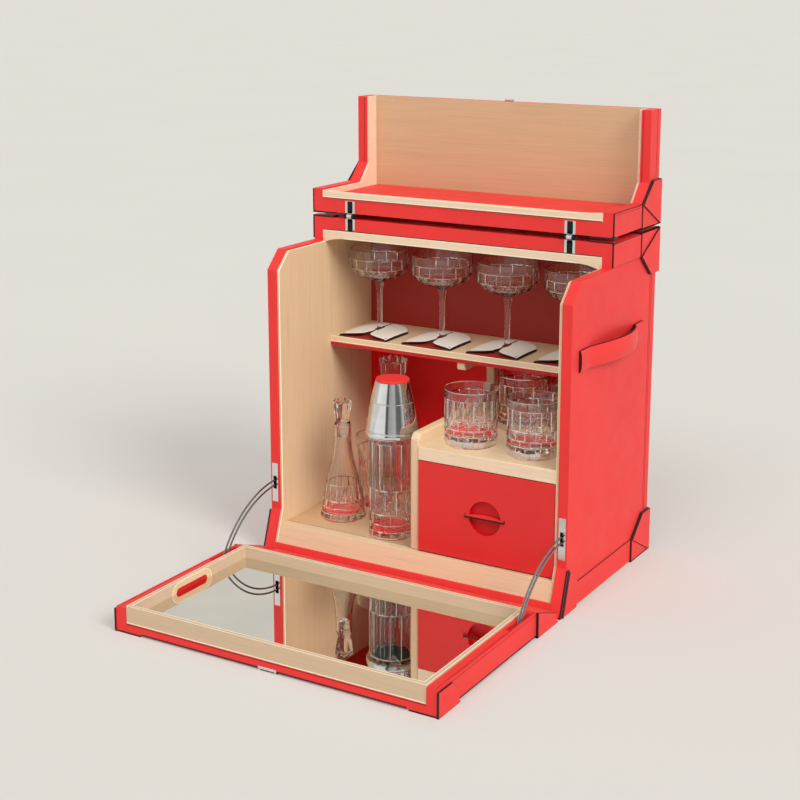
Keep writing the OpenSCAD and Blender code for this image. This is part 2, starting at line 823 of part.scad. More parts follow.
module flap_guards() {
    root = flap_axis_y - 0.6;
    color(red) both() {
        across(half_w, half_w + guard_t) polygon([[flap_end - end_guard_t, 0],
            [flap_end - end_guard_t, flap_side_z - 3], [flap_end + 34, flap_side_z - 3],
            [flap_end + 52, 17], [flap_end + 52, 0]]);
        block([half_w - 40, flap_end, 0], [half_w + guard_t, flap_end + 52, shell_z]);
        across(half_w, half_w + guard_t) polygon([[block_y, 0],
            [block_y, flap_side_z], [-flap_root - 1, block_low_z + 0.4],
            [-flap_root - 1, shell_z], [root, 0]]);
        block([half_w - 40, block_y, 0], [half_w + guard_t, root, shell_z]);
    }
}

module stay_pins() {
    color(chrome) both() rod_x(stay_x - 6, stay_x + 6, stay_pin_y, stay_pin_z, 2);
}

module turn_latch() {
    color(chrome) translate([0, latch_y, 0.2]) {
        block([-latch_l / 2, -latch_w / 2, 0], [latch_l / 2, latch_w / 2, latch_t]);
        for (x = [-12, 12]) block([x - 1.5, -latch_w / 2 - 2, 0], [x + 1.5, 0, latch_t]);
        cylinder(h = 9, r = latch_pin_r);
    }
}

// The tray slides on the flap's plate between its side walls
module tray_frame() {
    half = inner_x - slide_gap;
    y0 = flap_end + 1;
    y1 = block_y - slide_gap;
    slot_y0 = (y0 + y1) / 2 - tray_slot_l / 2;
    slot_mid = (mirror_z + tray_z) / 2 - 1.5;
    slot_r = (tray_z - mirror_z) / 2 - 4;
    color(maple) difference() {
        block([-half, y0, plate_z + 0.1], [half, y1, tray_z]);
        block([-half + tray_wall, y0 + tray_wall, mirror_z - 4],
            [half - tray_wall, y1 - tray_wall, tray_z + 1]);
        both() {
            block([0, slot_y0 + slot_r, slot_mid - slot_r],
                [half + 1, slot_y0 + tray_slot_l - slot_r, slot_mid + slot_r]);
            for (y = [slot_y0 + slot_r, slot_y0 + tray_slot_l - slot_r])
                rod_x(0, half + 1, y, slot_mid, slot_r);
        }
    }
}

module tray_mirror() {
    half = inner_x - slide_gap - tray_wall;
    y0 = flap_end + 1 + tray_wall;
    y1 = block_y - slide_gap - tray_wall;
    color(chrome) block([-half, y0, mirror_z - 4], [half, y1, mirror_z]);
}

// Two rods on one curve, with the lug on the flap's pin and the stop inside the wall
module stay_rods() {
    translate([stay_x, stay_cy, stay_cz]) rotate([90, 0, 90]) {
        for (r = [stay_r - rod_pitch / 2, stay_r + rod_pitch / 2])
            rotate([0, 0, stay_start - stay_sweep]) rotate_extrude(angle = stay_sweep)
                translate([r, 0]) circle(r = rod_d / 2);
    }
}

module stay() {
    color(chrome) difference() {
        union() {
            stay_rods();
            rod_x(stay_x - 2, stay_x + 2, stay_pin_y, stay_pin_z, lug_r);
            translate([stay_x, stay_cy, stay_cz]) rotate([stay_start - stay_sweep, 0, 0])
                block([-2, stay_r - stop_h / 2, -1.4], [2, stay_r + stop_h / 2, 1.4]);
        }
        rod_x(stay_x - 3, stay_x + 3, stay_pin_y, stay_pin_z, 2 + pin_gap);
    }
}

module stay_left() {
    mirror([1, 0, 0]) stay();
}

module stay_right() {
    stay();
}

drawer_x0 = cabinet_x + 1;
drawer_x1 = bay_x - 1;
drawer_mid_x = (drawer_x0 + drawer_x1) / 2;
drawer_low = floor_z + slide_gap;
drawer_top = cabinet_z - cabinet_t - 1;
drawer_back_y = drawer_y + drawer_front_t;
drawer_h = drawer_top - drawer_low - drawer_room;
recess_z = (drawer_low + drawer_top) / 2;

module drawer_box() {
    x0 = drawer_x0 + 2;
    x1 = drawer_x1 - 2;
    t = drawer_side_t;
    color(maple) difference() {
        block([x0, drawer_back_y, drawer_low], [x1, drawer_back_y + drawer_l, drawer_low + drawer_h]);
        block([x0 + t, drawer_back_y + t, drawer_low + 6],
            [x1 - t, drawer_back_y + drawer_l - t, drawer_low + drawer_h + 1]);
    }
}

module drawer_front() {
    color(red) difference() {
        block([drawer_x0, drawer_y, drawer_low + 1.7], [drawer_x1, drawer_back_y, drawer_top]);
        translate([drawer_mid_x, drawer_y - 1, recess_z]) rotate([-90, 0, 0])
            cylinder(h = recess_depth + 1, d = recess_d);
        translate([0, 0, recess_z - 1.6])
            block([drawer_mid_x - pull_l / 2, drawer_y - 1, 0],
                [drawer_mid_x + pull_l / 2, drawer_y + 3, 3.2]);
    }
}

// A leather tongue that bows out across the recess
module drawer_pull() {
    half = pull_l / 2;
    r = (half * half + pull_out * pull_out) / 2 / pull_out;
    color(red) translate([drawer_mid_x, drawer_y, recess_z - 1.6]) linear_extrude(3.2)
        union() {
            translate([-half, 0]) square([pull_l, 3]);
            intersection() {
                translate([0, r - pull_out]) circle(r = r, $fn = 360);
                translate([-half, -pull_out]) square([pull_l, pull_out + 0.5]);
            }
        }
}

// Points on a quarter of an ellipse, from its low point out to its side
function quarter(rx, rz, z0, n) = [for (i = [0:n])
    [rx * sin(90 * i / n), z0 + rz * (1 - cos(90 * i / n))]];

function reversed(list) = [for (i = [len(list) - 1:-1:0]) list[i]];

module coupe(i) {
    r = coupe_d / 2;
    bowl_z = coupe_h - coupe_bowl;
    wall_t = 2;
    outer = [for (p = quarter(r, 26, bowl_z, 10)) if (p[0] > 10) p];
    inner = quarter(r - wall_t, 24.5, bowl_z + 3.5, 10);
    color(glass) turned([coupe_x(i), coupe_y], coupe_z) polygon(concat(
        [[0, 0], [31, 0], [31, 1], [20, 1.8], [8, 2.8], [4.6, 3.9], [4.5, 9],
            [4.5, bowl_z - 12], [6.4, bowl_z - 8], [6.2, bowl_z - 5], [9, bowl_z + 0.4]],
        outer, [[r - 1, coupe_h], [r - 1 - wall_t, coupe_h]], reversed(inner)));
}

module coupe_1() {
    coupe(0);
}

module coupe_2() {
    coupe(1);
}

module coupe_3() {
    coupe(2);
}

module coupe_4() {
    coupe(3);
}

module tumbler(i) {
    r1 = tumbler_r - 0.3;
    r0 = tumbler_r;
    color(glass) turned(tumbler_at[i], cabinet_z) polygon([[0, 0], [r0 - 2.5, 0], [r0, 2.5],
        [r0, 12], [r1, tumbler_h], [r1 - vessel_wall, tumbler_h], [r0 - 4, 14], [r0 - 7, 11],
        [0, 11]]);
}

module tumbler_1() {
    tumbler(0);
}

module tumbler_2() {
    tumbler(1);
}

module tumbler_3() {
    tumbler(2);
}

module tumbler_4() {
    tumbler(3);
}

module highball() {
    r1 = highball_d / 2;
    r0 = r1 - 7.4;
    color(glass) turned(highball_at, floor_z) polygon([[0, 0], [r0 - 2, 0], [r0, 2],
        [r1, highball_h], [r1 - vessel_wall, highball_h], [r0 - 3, 13], [r0 - 6, 10], [0, 10]]);
}

// The foot sweeps up in a long hollow curve to a straight neck
module small_decanter() {
    r = small_d / 2;
    neck = neck_d / 2;
    color(glass) turned(small_at, floor_z) polygon([[0, 0], [r - 2, 0], [r, 2.5], [r, 6],
        [r - 4.5, 18], [r - 10, 33], [r - 15.5, 49], [r - 19.3, 64], [neck + 1.8, 80],
        [neck + 0.5, 95], [neck, 108], [neck, small_h], [neck - 3, small_h],
        [neck - 4, small_h - 20], [neck - 4, 80], [neck - 1.8, 64], [neck + 4.5, 49],
        [neck + 9, 33], [r - 9, 14], [r - 12, 10], [0, 10]]);
}

// A crown that widens upwards, on a ground plug
module small_stopper() {
    neck = neck_d / 2;
    z = floor_z + small_h;
    color(glass) turned(small_at, z) polygon([[0, -19], [neck - 4 - stopper_gap, -19],
        [neck - 3 - stopper_gap, 0], [neck - 3 - stopper_gap, 0.2], [neck - 1, 0.2], [10, 4],
        [10, 8], [12.5, 16], [14, 28], [14.5, small_stopper_h - 4], [13, small_stopper_h],
        [0, small_stopper_h]]);
}

module large_decanter() {
    r = large_d / 2;
    color(glass) turned(large_at, floor_z) polygon([[0, 0], [r - 3, 0], [r, 3],
        [r, large_h - 18], [r - 1.5, large_h - 14], [r - 6, large_h - 11],
        [17, large_h - 8], [14.5, large_h - 4], [16, large_h], [11, large_h],
        [10, large_h - 16], [r - 8, large_h - 18], [r - 4, large_h - 23], [r - 4, 14],
        [r - 7, 11], [0, 11]]);
}

module large_stopper() {
    z = floor_z + large_h;
    color(glass) turned(large_at, z) polygon([[0, -14], [10 - stopper_gap, -14],
        [11 - stopper_gap, 0], [11 - stopper_gap, 0.2], [15, 0.2], [15.5, 4], [19, 10],
        [21.5, 22], [23.3, large_stopper_h - 6], [22.5, large_stopper_h - 1],
        [20, large_stopper_h], [0, large_stopper_h]]);
}

module shaker_glass() {
    r = shaker_d / 2;
    color(glass) turned(shaker_at, floor_z) polygon([[0, 0], [r - 2, 0], [r, 3],
        [r, shaker_h], [r - 3, shaker_h], [r - 3, 14], [r - 6, 11], [0, 11]]);
}

// The metal top sits over the rim of the glass and is hollow
module shaker_top() {
    r0 = shaker_d / 2;
    r1 = shaker_top_d / 2;
    ring = 10.5;
    seam = 53;
    r2 = 25.8;
    rs = r1 - (r1 - r2) * (seam - ring - 2.5) / (shaker_top_h - ring - 2.5);
    z = floor_z + shaker_h + 0.2;
    color(chrome) turned(shaker_at, z) polygon([[r0 - 4, 0], [r1 - 1.2, 0], [r1 - 1.2, ring],
        [r1, ring + 1], [r1, ring + 2.5], [rs, seam], [rs + 0.6, seam + 0.6],
        [rs + 0.4, seam + 1.6], [rs - 0.8, seam + 2.4], [r2, shaker_top_h - 1],
        [r2 - 1, shaker_top_h], [0, shaker_top_h], [0, shaker_top_h - 3],
        [r2 - 4, shaker_top_h - 3], [r1 - 4, ring + 5], [r0 - 4, ring]]);
}

module shaker_disc() {
    z = floor_z + shaker_h + 0.2 + shaker_top_h;
    color(red) turned(shaker_at, z) polygon([[0, 0], [25.2, 0], [25.2, 2], [24.2, 3], [0, 3]]);
}

place() {
    body_shell();
    side_lining_left();
    side_lining_right();
    back_panel();
    ceiling();
    floor_board();
    floor_front();
    floor_bearers();
    shelf();
    shelf_leather();
    coupe_pockets();
    pocket_petals();
    divider();
    cabinet_top();
    body_guards();
    body_bands();
    carry_handles();
    stay_plates();
    lid_hinge_lower();
    lid_hinge_pins();
    flap_hinge_fixed();
    flap_hinge_pins();
    lid_shell();
    lid_rim();
    lid_back_panel();
    lid_pad();
    lid_guards();
    lid_hinge_upper();
    keeper_patch();
    lid_keeper();
    flap_shell();
    flap_guards();
    flap_hinge_moving();
    stay_pins();
    turn_latch();
    tray_frame();
    tray_mirror();
    stay_left();
    stay_right();
    drawer_box();
    drawer_front();
    drawer_pull();
    coupe_1();
    coupe_2();
    coupe_3();
    coupe_4();
    tumbler_1();
    tumbler_2();
    tumbler_3();
    tumbler_4();
    highball();
    small_decanter();
    small_stopper();
    large_decanter();
    large_stopper();
    shaker_glass();
    shaker_top();
    shaker_disc();
}
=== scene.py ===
"""The looks of an open cocktail trunk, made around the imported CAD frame.

Lengths in the lists below are millimetres from the part's own origin, where x runs across the
front, y goes back from the foot of the body's front edge and z goes up from the floor. P() turns
them into the frame's metres.
"""

import math
from math import cos, hypot, pi, radians, sin, sqrt

import bmesh
import bpy
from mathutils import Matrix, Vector


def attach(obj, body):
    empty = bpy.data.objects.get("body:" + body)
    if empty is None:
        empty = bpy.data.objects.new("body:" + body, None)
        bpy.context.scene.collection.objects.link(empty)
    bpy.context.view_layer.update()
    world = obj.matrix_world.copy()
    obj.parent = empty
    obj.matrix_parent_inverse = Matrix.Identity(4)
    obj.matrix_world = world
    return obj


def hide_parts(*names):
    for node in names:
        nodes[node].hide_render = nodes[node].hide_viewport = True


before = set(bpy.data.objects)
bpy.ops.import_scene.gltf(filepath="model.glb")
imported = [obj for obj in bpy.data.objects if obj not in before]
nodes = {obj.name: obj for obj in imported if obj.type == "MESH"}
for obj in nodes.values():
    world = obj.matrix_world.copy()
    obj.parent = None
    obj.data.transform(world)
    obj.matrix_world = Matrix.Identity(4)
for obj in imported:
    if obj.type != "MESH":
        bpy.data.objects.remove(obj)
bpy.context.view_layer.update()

Y_SHIFT = 10.6                      # the frame's origin is this far in front of the part's own
SIDE_X, REAR_Y = 250.0, 317.0       # the outer faces of the walls
FRONT_Y = 151.0                     # the front of the case's top and of the opened lid
BODY_TOP, LID_FOOT = 505.0, 511.3   # the case's top face, and what the opened lid rests on
GUARD = 2.5                         # the thickness of the corner leathers
SHELF_Z, CABINET_Z, BAY_Z = 315.0, 206.0, 46.0  # the shelf, the drawer's cabinet, the floor
TUMBLERS_AT = [(65.7, 83), (167.3, 83), (95, 195), (183, 195)]
HIGHBALL_AT, SMALL_DECANTER_AT = (-146, 164), (-167, 98)
LARGE_DECANTER_AT, SHAKER_AT = (-160, 238), (-61.5, 73)
COUPE_X, COUPE_Y, POCKET_Y = [-171.8, -58.6, 54.6, 167.8], 217, 165.0
RIGHT, FRONT, REAR, UP = (1, 0, 0), (0, -1, 0), (0, 1, 0), (0, 0, 1)


def P(x, y, z):
    return Vector((x / 1000, (y + Y_SHIFT) / 1000, z / 1000))


# ---- camera, lamps and floor

SENSOR = 36.0
FOCAL_LENGTH = 1567.53 / 800 * SENSOR
CAMERA_AT = (1.09950, -1.84316, 0.88280)
CAMERA_DIP, CAMERA_TURN = 0.221603, 0.537440  # radians below the level and from the front
STUDIO = (222, 219, 212)


def linked(made):
    bpy.context.scene.collection.objects.link(made)
    return made


def add_camera():
    data = bpy.data.cameras.new("camera")
    data.sensor_width = SENSOR
    data.lens = FOCAL_LENGTH
    data.shift_y = -0.10
    cam = linked(bpy.data.objects.new("camera", data))
    cam.location = CAMERA_AT
    cam.rotation_euler = (pi / 2 - CAMERA_DIP, 0, CAMERA_TURN)
    bpy.context.scene.camera = cam


def add_sun(name, azimuth, elevation, strength, angle, color=(1, 1, 1)):
    """A soft lamp as far as the sun. Azimuth 0 is the front, 90 is the right side."""
    data = bpy.data.lights.new(name, "SUN")
    data.energy = strength
    data.angle = radians(angle)
    data.color = color
    lamp = linked(bpy.data.objects.new(name, data))
    a, e = radians(azimuth), radians(elevation)
    towards = Vector((sin(a) * cos(e), -cos(a) * cos(e), sin(e)))
    lamp.rotation_euler = towards.to_track_quat("Z", "Y").to_euler()


def linear(rgb):
    """An sRGB colour of three numbers from 0 to 255, as the linear one that a shader takes."""
    return tuple(
        c / 255 / 12.92 if c / 255 <= 0.04045 else ((c / 255 + 0.055) / 1.055) ** 2.4
        for c in rgb
    ) + (1.0,)


def tinted(rgb, k):
    return linear([max(0, min(255, c * k)) for c in rgb])


def grey(t):
    return (t, t, t, 1)


class Nodes:
    """A node tree, with a short call for a node with its values and links."""

    def __init__(self, tree):
        self.tree = tree

    def node(self, kind, inputs=None, **attributes):
        made = self.tree.nodes.new(kind)
        for key, value in attributes.items():
            setattr(made, key, value)
        for key, value in (inputs or {}).items():
            if isinstance(value, bpy.types.NodeSocket):
                self.tree.links.new(value, made.inputs[key])
            else:
                made.inputs[key].default_value = value
        return made

    def math(self, operation, a, b):
        return self.node("ShaderNodeMath", {0: a, 1: b}, operation=operation).outputs[0]


class Shader(Nodes):
    """A material made of nodes, whose settings are those of its main shader."""

    def __init__(self, name, **settings):
        self.material = bpy.data.materials.new(name)
        self.material.use_nodes = True
        super().__init__(self.material.node_tree)
        self.bsdf = self.tree.nodes["Principled BSDF"]
        for socket, value in settings.items():
            self.bsdf.inputs[socket.replace("_", " ")].default_value = value
        self.coords = self.node("ShaderNodeTexCoord").outputs["Object"]

    def to(self, socket, name):
        self.tree.links.new(socket, self.bsdf.inputs[name])

    def stretched(self, scale):
        return self.node("ShaderNodeMapping", {"Vector": self.coords, "Scale": scale}).outputs[0]

    def noise(self, scale, vector=None, detail=3.0, roughness=0.5):
        return self.node("ShaderNodeTexNoise", {
            "Vector": vector or self.coords, "Scale": scale, "Detail": detail,
            "Roughness": roughness}).outputs["Fac"]

    def ramp(self, fac, stops):
        made = self.node("ShaderNodeValToRGB", {"Fac": fac})
        ramp = made.color_ramp
        while len(ramp.elements) < len(stops):
            ramp.elements.new(0.5)
        for element, (at, color) in zip(ramp.elements, stops):
            element.position = at
            element.color = color
        return made.outputs["Color"]

    def tints(self, fac, rgb, *stops):
        """A ramp through lighter and darker kinds of one colour."""
        return self.ramp(fac, [(at, tinted(rgb, k)) for at, k in stops])

    def spread(self, fac, low, high):
        """Carries the middle range of a noise over to the values from low to high."""
        return self.node("ShaderNodeMapRange", {
            "Value": fac, "From Min": 0.3, "From Max": 0.7, "To Min": low,
            "To Max": high}).outputs["Result"]

    def mix(self, fac, a, b):
        """Mixes two colours, which are inputs 6 and 7 and output 2 of the node."""
        return self.node("ShaderNodeMix", {"Factor": fac, 6: a, 7: b}, data_type="RGBA").outputs[2]

    def bump(self, height, distance, strength):
        self.to(self.node("ShaderNodeBump", {
            "Height": height, "Distance": distance, "Strength": strength}).outputs["Normal"],
            "Normal")


BACK_SHADE_LINE = 0.307     # metres above the floor, over which the back panel is painted darker as the shade under the ceiling
GRAIN_DEPTH = 0.00006  # metres, of the bumps in leather and of the pores in wood
GLASS_IOR = 1.5


def leather(name, rgb, roughness, grain=1.0, upper=None):
    """Grained leather. With upper it has that other colour above the lower bays, a darker one that
    is painted shade.
    """
    s = Shader(name, Specular_IOR_Level=0.3)
    cloud = s.noise(7.0, detail=4.0)
    clouded = ((0.3, 0.975), (0.7, 1.015))
    color = s.tints(cloud, rgb, *clouded)
    if upper:
        height = s.node("ShaderNodeSeparateXYZ", {0: s.coords}).outputs["Z"]
        over = s.math("GREATER_THAN", height, BACK_SHADE_LINE)
        color = s.mix(over, color, s.tints(cloud, upper, *clouded))
    s.to(color, "Base Color")
    s.to(s.spread(s.noise(35.0), roughness - 0.05, roughness + 0.05), "Roughness")
    cells = s.node("ShaderNodeTexVoronoi", {"Vector": s.coords, "Scale": 1250.0,
                   "Randomness": 1.0}, feature="SMOOTH_F1").outputs["Distance"]
    fine = s.math("MULTIPLY", s.noise(2600.0, detail=2.0), 0.35)
    s.bump(s.math("ADD", cells, fine), GRAIN_DEPTH * grain, 0.6)
    return s.material


def maple(name, along, rgb):
    """Wood with straight grain along the axis with that number: bands, fine lines and pores."""
    s = Shader(name, Specular_IOR_Level=0.4)

    def drawn(through, lengthwise, detail, roughness):
        scale = [through] * 3
        scale[along] = lengthwise
        return s.noise(1.0, s.stretched(scale), detail, roughness)

    band = drawn(70.0, 2.2, 4.0, 0.6)
    fine = drawn(680.0, 9.0, 3.0, 0.65)
    pores = drawn(1900.0, 60.0, 2.0, 0.5)
    broad = s.tints(band, rgb, (0.28, 0.955), (0.5, 1.0), (0.74, 1.035))
    thin = s.tints(fine, rgb, (0.3, 0.83), (0.47, 1.0), (0.8, 1.03))
    dark = s.tints(pores, rgb, (0.25, 0.8), (0.36, 1.0))
    s.to(s.mix(0.3, s.mix(0.5, broad, thin), dark), "Base Color")
    s.to(s.spread(fine, 0.42, 0.56), "Roughness")
    s.bump(pores, GRAIN_DEPTH, 0.5)
    return s.material


def metal(name, rgb, roughness, streak=(60.0, 60.0, 60.0), spread=0.03):
    s = Shader(name, Metallic=1.0)
    cloud = s.noise(1.0, s.stretched(streak), detail=3.0)
    s.to(s.tints(cloud, rgb, (0.3, 0.97), (0.7, 1.02)), "Base Color")
    s.to(s.spread(cloud, roughness, roughness + spread), "Roughness")
    return s.material


def clear_glass(name):
    s = Shader(name, Transmission_Weight=1.0, IOR=GLASS_IOR, Specular_IOR_Level=0.15)
    cloud = s.noise(14.0)
    s.to(s.ramp(cloud, [(0.3, (1, 0.982, 0.972, 1)), (0.7, (1, 0.995, 0.99, 1))]), "Base Color")
    s.to(s.spread(s.noise(40.0), 0.0, 0.003), "Roughness")
    return s.material


def bright_glass(name, silver):
    """The narrow cuts between the panels, the rims and the feet, which throw back more light."""
    s = Shader(name, Transmission_Weight=1.0, IOR=GLASS_IOR, Metallic=silver)
    cloud = s.noise(300.0)
    s.to(s.ramp(cloud, [(0.3, (0.96, 0.94, 0.93, 1)), (0.7, (1, 1, 1, 1))]), "Base Color")
    s.to(s.spread(cloud, 0.02, 0.08), "Roughness")
    return s.material


MAT = {
    "red": leather("red_leather", (235, 51, 49), 0.46),
    "deep": leather("deep_red_leather", (196, 34, 36), 0.55),
    # the back panel and the coupe pockets are darker above the shelf: painted shade under the
    # ceiling
    "back": leather("back_panel_painted_shade_leather", (246, 0, 2), 0.6, upper=(168, 44, 33)),
    "edge": leather("edge_paint", (46, 26, 27), 0.4, 0.5),
    # a darker red for the crease lines: the creases are real, their darkness is painted shade
    "crease": leather("crease_painted_shade_leather", (150, 26, 27), 0.5, 0.4),
    "drawer": leather("drawer_leather", (224, 48, 47), 0.48),
    # a darker red painted as shade inside hollows: the drawer pull's recess and the back of the
    # tray's finger slots
    "recess": leather("recess_painted_shade_leather", (206, 14, 24), 0.5),
    "cream": leather("cream_leather", (240, 233, 221), 0.5),
    "maple_x": maple("maple_grain_x", 0, (226, 196, 158)),
    "maple_y": maple("maple_grain_y", 1, (229, 194, 155)),
    "maple_z": maple("maple_grain_z", 2, (231, 198, 159)),
    "maple_floor": maple("maple_floor_grain", 0, (209, 169, 129)),
    "maple_panel": maple("maple_panel_grain", 0, (214, 177, 137)),
    # a paler maple for the ceiling and lid rim strips, also put on the cabinet top's front as
    # painted light
    "maple_pale": maple("maple_pale_grain", 0, (239, 214, 184)),
    # the tray's maple is a darker copy, painted shade for the tray's walls
    "maple_tray": maple("maple_tray_painted_shade_grain", 0, (209, 182, 151)),
    # a paler maple for the shelf's front face, painted light
    "maple_lit_front": maple("maple_lit_front_grain", 0, (240, 208, 172)),
    "maple_post": maple("maple_post_grain", 2, (230, 199, 162)),
    # pale lines along edges: painted highlights where the rounded edges catch the light
    "ivory": maple("maple_edge_highlight", 0, (250, 238, 208)),
    "joint": maple("maple_joint", 0, (120, 78, 50)),
    "chrome": metal("chrome", (222, 224, 226), 0.04),
    "steel": metal("polished_steel", (226, 229, 231), 0.2, (8.0, 240.0, 240.0)),
    "rod": metal("stay_chrome", (146, 153, 154), 0.07),
    # a black that is painted shade in slots, gaps and hollows
    "black": leather("black_painted_shade", (14, 12, 13), 0.6, 0.2),
    "mirror": metal("tray_mirror", (230, 228, 221), 0.005, (8.0, 8.0, 8.0), 0.004),
    "glass": clear_glass("clear_glass"),
    "cuts": bright_glass("bright_cuts", 0.4),
    "sparkle": bright_glass("sparkling_cuts", 0.65),
}


def bare_object(name, bm, material):
    """The object for a mesh that is made here, with one material."""
    mesh = bpy.data.meshes.new(name)
    bm.to_mesh(mesh)
    bm.free()
    mesh.materials.append(material)
    return linked(bpy.data.objects.new(name, mesh))


def add_floor():
    """A wide pale floor, which the camera sees with a little light of its own."""
    s = Shader("floor_paint", Roughness=0.95, Specular_IOR_Level=0.1)
    cloud = s.noise(1.5, detail=2.0)
    s.to(s.tints(cloud, (220, 218, 212), (0.3, 0.99), (0.7, 1.0)), "Base Color")
    own = s.node("ShaderNodeEmission", {"Color": linear((224, 221, 214))})
    seen = s.node("ShaderNodeLightPath").outputs["Is Camera Ray"]
    mixed = s.node("ShaderNodeMixShader", {0: s.math("MULTIPLY", seen, 0.25),
                   1: s.bsdf.outputs[0], 2: own.outputs[0]})
    s.tree.links.new(mixed.outputs[0], s.tree.nodes["Material Output"].inputs["Surface"])
    bm = bmesh.new()
    bmesh.ops.create_circle(bm, cap_ends=True, segments=96, radius=70.0)
    floor = bare_object("floor", bm, s.material)


STUDIO_RADIUS, STUDIO_HEIGHT, STUDIO_WALL_FOOT = 5.0, 6.0, 0.25  # metres
# azimuth in degrees, and how bright a ray that has passed through glass finds the wall there
SOFTBOXES = ((-100, 0.03), (-57, 0.03), (-55, 1.0), (-49, 1.0), (-47, 0.02), (-24, 0.02),
             (-22, 0.9), (-18, 0.9), (-16, 0.02), (18, 0.02), (20, 1.0), (26, 1.0), (28, 0.02),
             (62, 0.02), (64, 1.0), (70, 1.0), (72, 0.03), (150, 0.03))
# the same for the ceiling, from its front edge at 0 to its rear edge at 1
CEILING_BOXES = ((0.0, 0.03), (0.17, 0.03), (0.18, 1), (0.25, 1), (0.26, 0.03), (0.42, 0.03),
                 (0.43, 1), (0.50, 1), (0.51, 0.03))
SOFTBOX_GAIN = 4.0
# azimuth in degrees, and the tone that reflections show there, from 0 to 255
WALL_TONES = ((-100, 215), (-62, 205), (-56, 252), (-5, 240), (0, 92), (8, 95), (13, 168),
              (40, 196), (50, 112), (68, 108), (82, 212), (150, 215))


def black_shader(name):
    """A matt black that only its emission lights up."""
    s = Shader(name, Roughness=1.0, Specular_IOR_Level=0.0)
    s.bsdf.inputs["Base Color"].default_value = (0, 0, 0, 1)
    return s


def glass_sees(shader, boxes):
    """Gives a stage piece the strength of its soft lights for the rays that come out of glass."""
    gain = shader.math("MULTIPLY", boxes, SOFTBOX_GAIN)
    path = shader.node("ShaderNodeLightPath").outputs["Is Transmission Ray"]
    more = shader.math("MULTIPLY", path, shader.math("SUBTRACT", gain, 1.0))
    shader.to(shader.math("ADD", more, 1.0), "Emission Strength")


def add_studio_ceiling():
    """A ceiling with two long soft lights, seen only in reflections and through glass."""
    s = black_shader("studio_ceiling")
    s.bsdf.inputs["Emission Color"].default_value = linear(STUDIO)
    y = s.node("ShaderNodeSeparateXYZ", {0: s.coords}).outputs["Y"]
    part = s.node("ShaderNodeMapRange", {"Value": y, "From Min": -STUDIO_RADIUS,
                  "From Max": STUDIO_RADIUS}).outputs["Result"]
    glass_sees(s, s.ramp(part, [(at, grey(t)) for at, t in CEILING_BOXES]))
    bm = bmesh.new()
    bmesh.ops.create_circle(bm, cap_ends=True, segments=60, radius=STUDIO_RADIUS)
    for v in bm.verts:
        v.co.z = STUDIO_HEIGHT
    ceiling = bare_object("studio_ceiling", bm, s.material)
    ceiling.visible_camera = ceiling.visible_diffuse = ceiling.visible_shadow = False


def add_studio_wall():
    """A curved wall in front, in light and dark fields, seen like the ceiling."""
    first, last = WALL_TONES[0][0], WALL_TONES[-1][0]
    s = black_shader("studio_wall")
    axes = s.node("ShaderNodeSeparateXYZ", {0: s.coords})
    turn = s.math("ARCTAN2", axes.outputs["X"], s.math("MULTIPLY", axes.outputs["Y"], -1.0))
    along = s.node("ShaderNodeMapRange", {"Value": turn, "From Min": radians(first),
                   "From Max": radians(last)}).outputs["Result"]

    def part(azimuth):
        return (azimuth - first) / (last - first)

    tones = s.tints(along, (255, 253, 249), *[(part(a), t / 255) for a, t in WALL_TONES])
    s.to(tones, "Emission Color")
    glass_sees(s, s.ramp(along, [(part(a), grey(t)) for a, t in SOFTBOXES]))
    steps = 60
    bm = bmesh.new()
    rows = []
    for i in range(steps + 1):
        a = radians(first + (last - first) * i / steps)
        x, y = STUDIO_RADIUS * sin(a), -STUDIO_RADIUS * cos(a)
        rows.append([bm.verts.new((x, y, z)) for z in (STUDIO_WALL_FOOT, STUDIO_HEIGHT)])
    for (a, b), (c, d) in zip(rows, rows[1:]):
        bm.faces.new((a, c, d, b))
    wall = bare_object("studio_wall", bm, s.material)
    wall.visible_camera = wall.visible_diffuse = wall.visible_shadow = False


def add_world():
    """A plain light from all round, and the pale studio that is seen, also in reflections."""
    world = bpy.data.worlds.new("studio")
    bpy.context.scene.world = world
    world.use_nodes = True
    w = Nodes(world.node_tree)
    w.tree.nodes.clear()
    light = w.node("ShaderNodeBackground", {"Color": (1.0, 0.985, 0.965, 1), "Strength": 0.5})
    seen = w.node("ShaderNodeBackground", {"Color": linear(STUDIO), "Strength": 1.0})
    path = w.node("ShaderNodeLightPath").outputs
    total = path["Is Camera Ray"]
    for name in ("Is Glossy Ray", "Is Transmission Ray"):
        total = w.math("MAXIMUM", total, path[name])
    mixed = w.node("ShaderNodeMixShader", {0: total, 1: light.outputs[0], 2: seen.outputs[0]})
    w.node("ShaderNodeOutputWorld", {0: mixed.outputs[0]})


add_camera()
add_world()
add_floor()
add_studio_wall()
add_studio_ceiling()
add_sun("key", 70, 36, 1.9, 26, (1.0, 0.985, 0.96))
add_sun("front", 2, 52, 0.86, 30)


# ---- mesh helpers

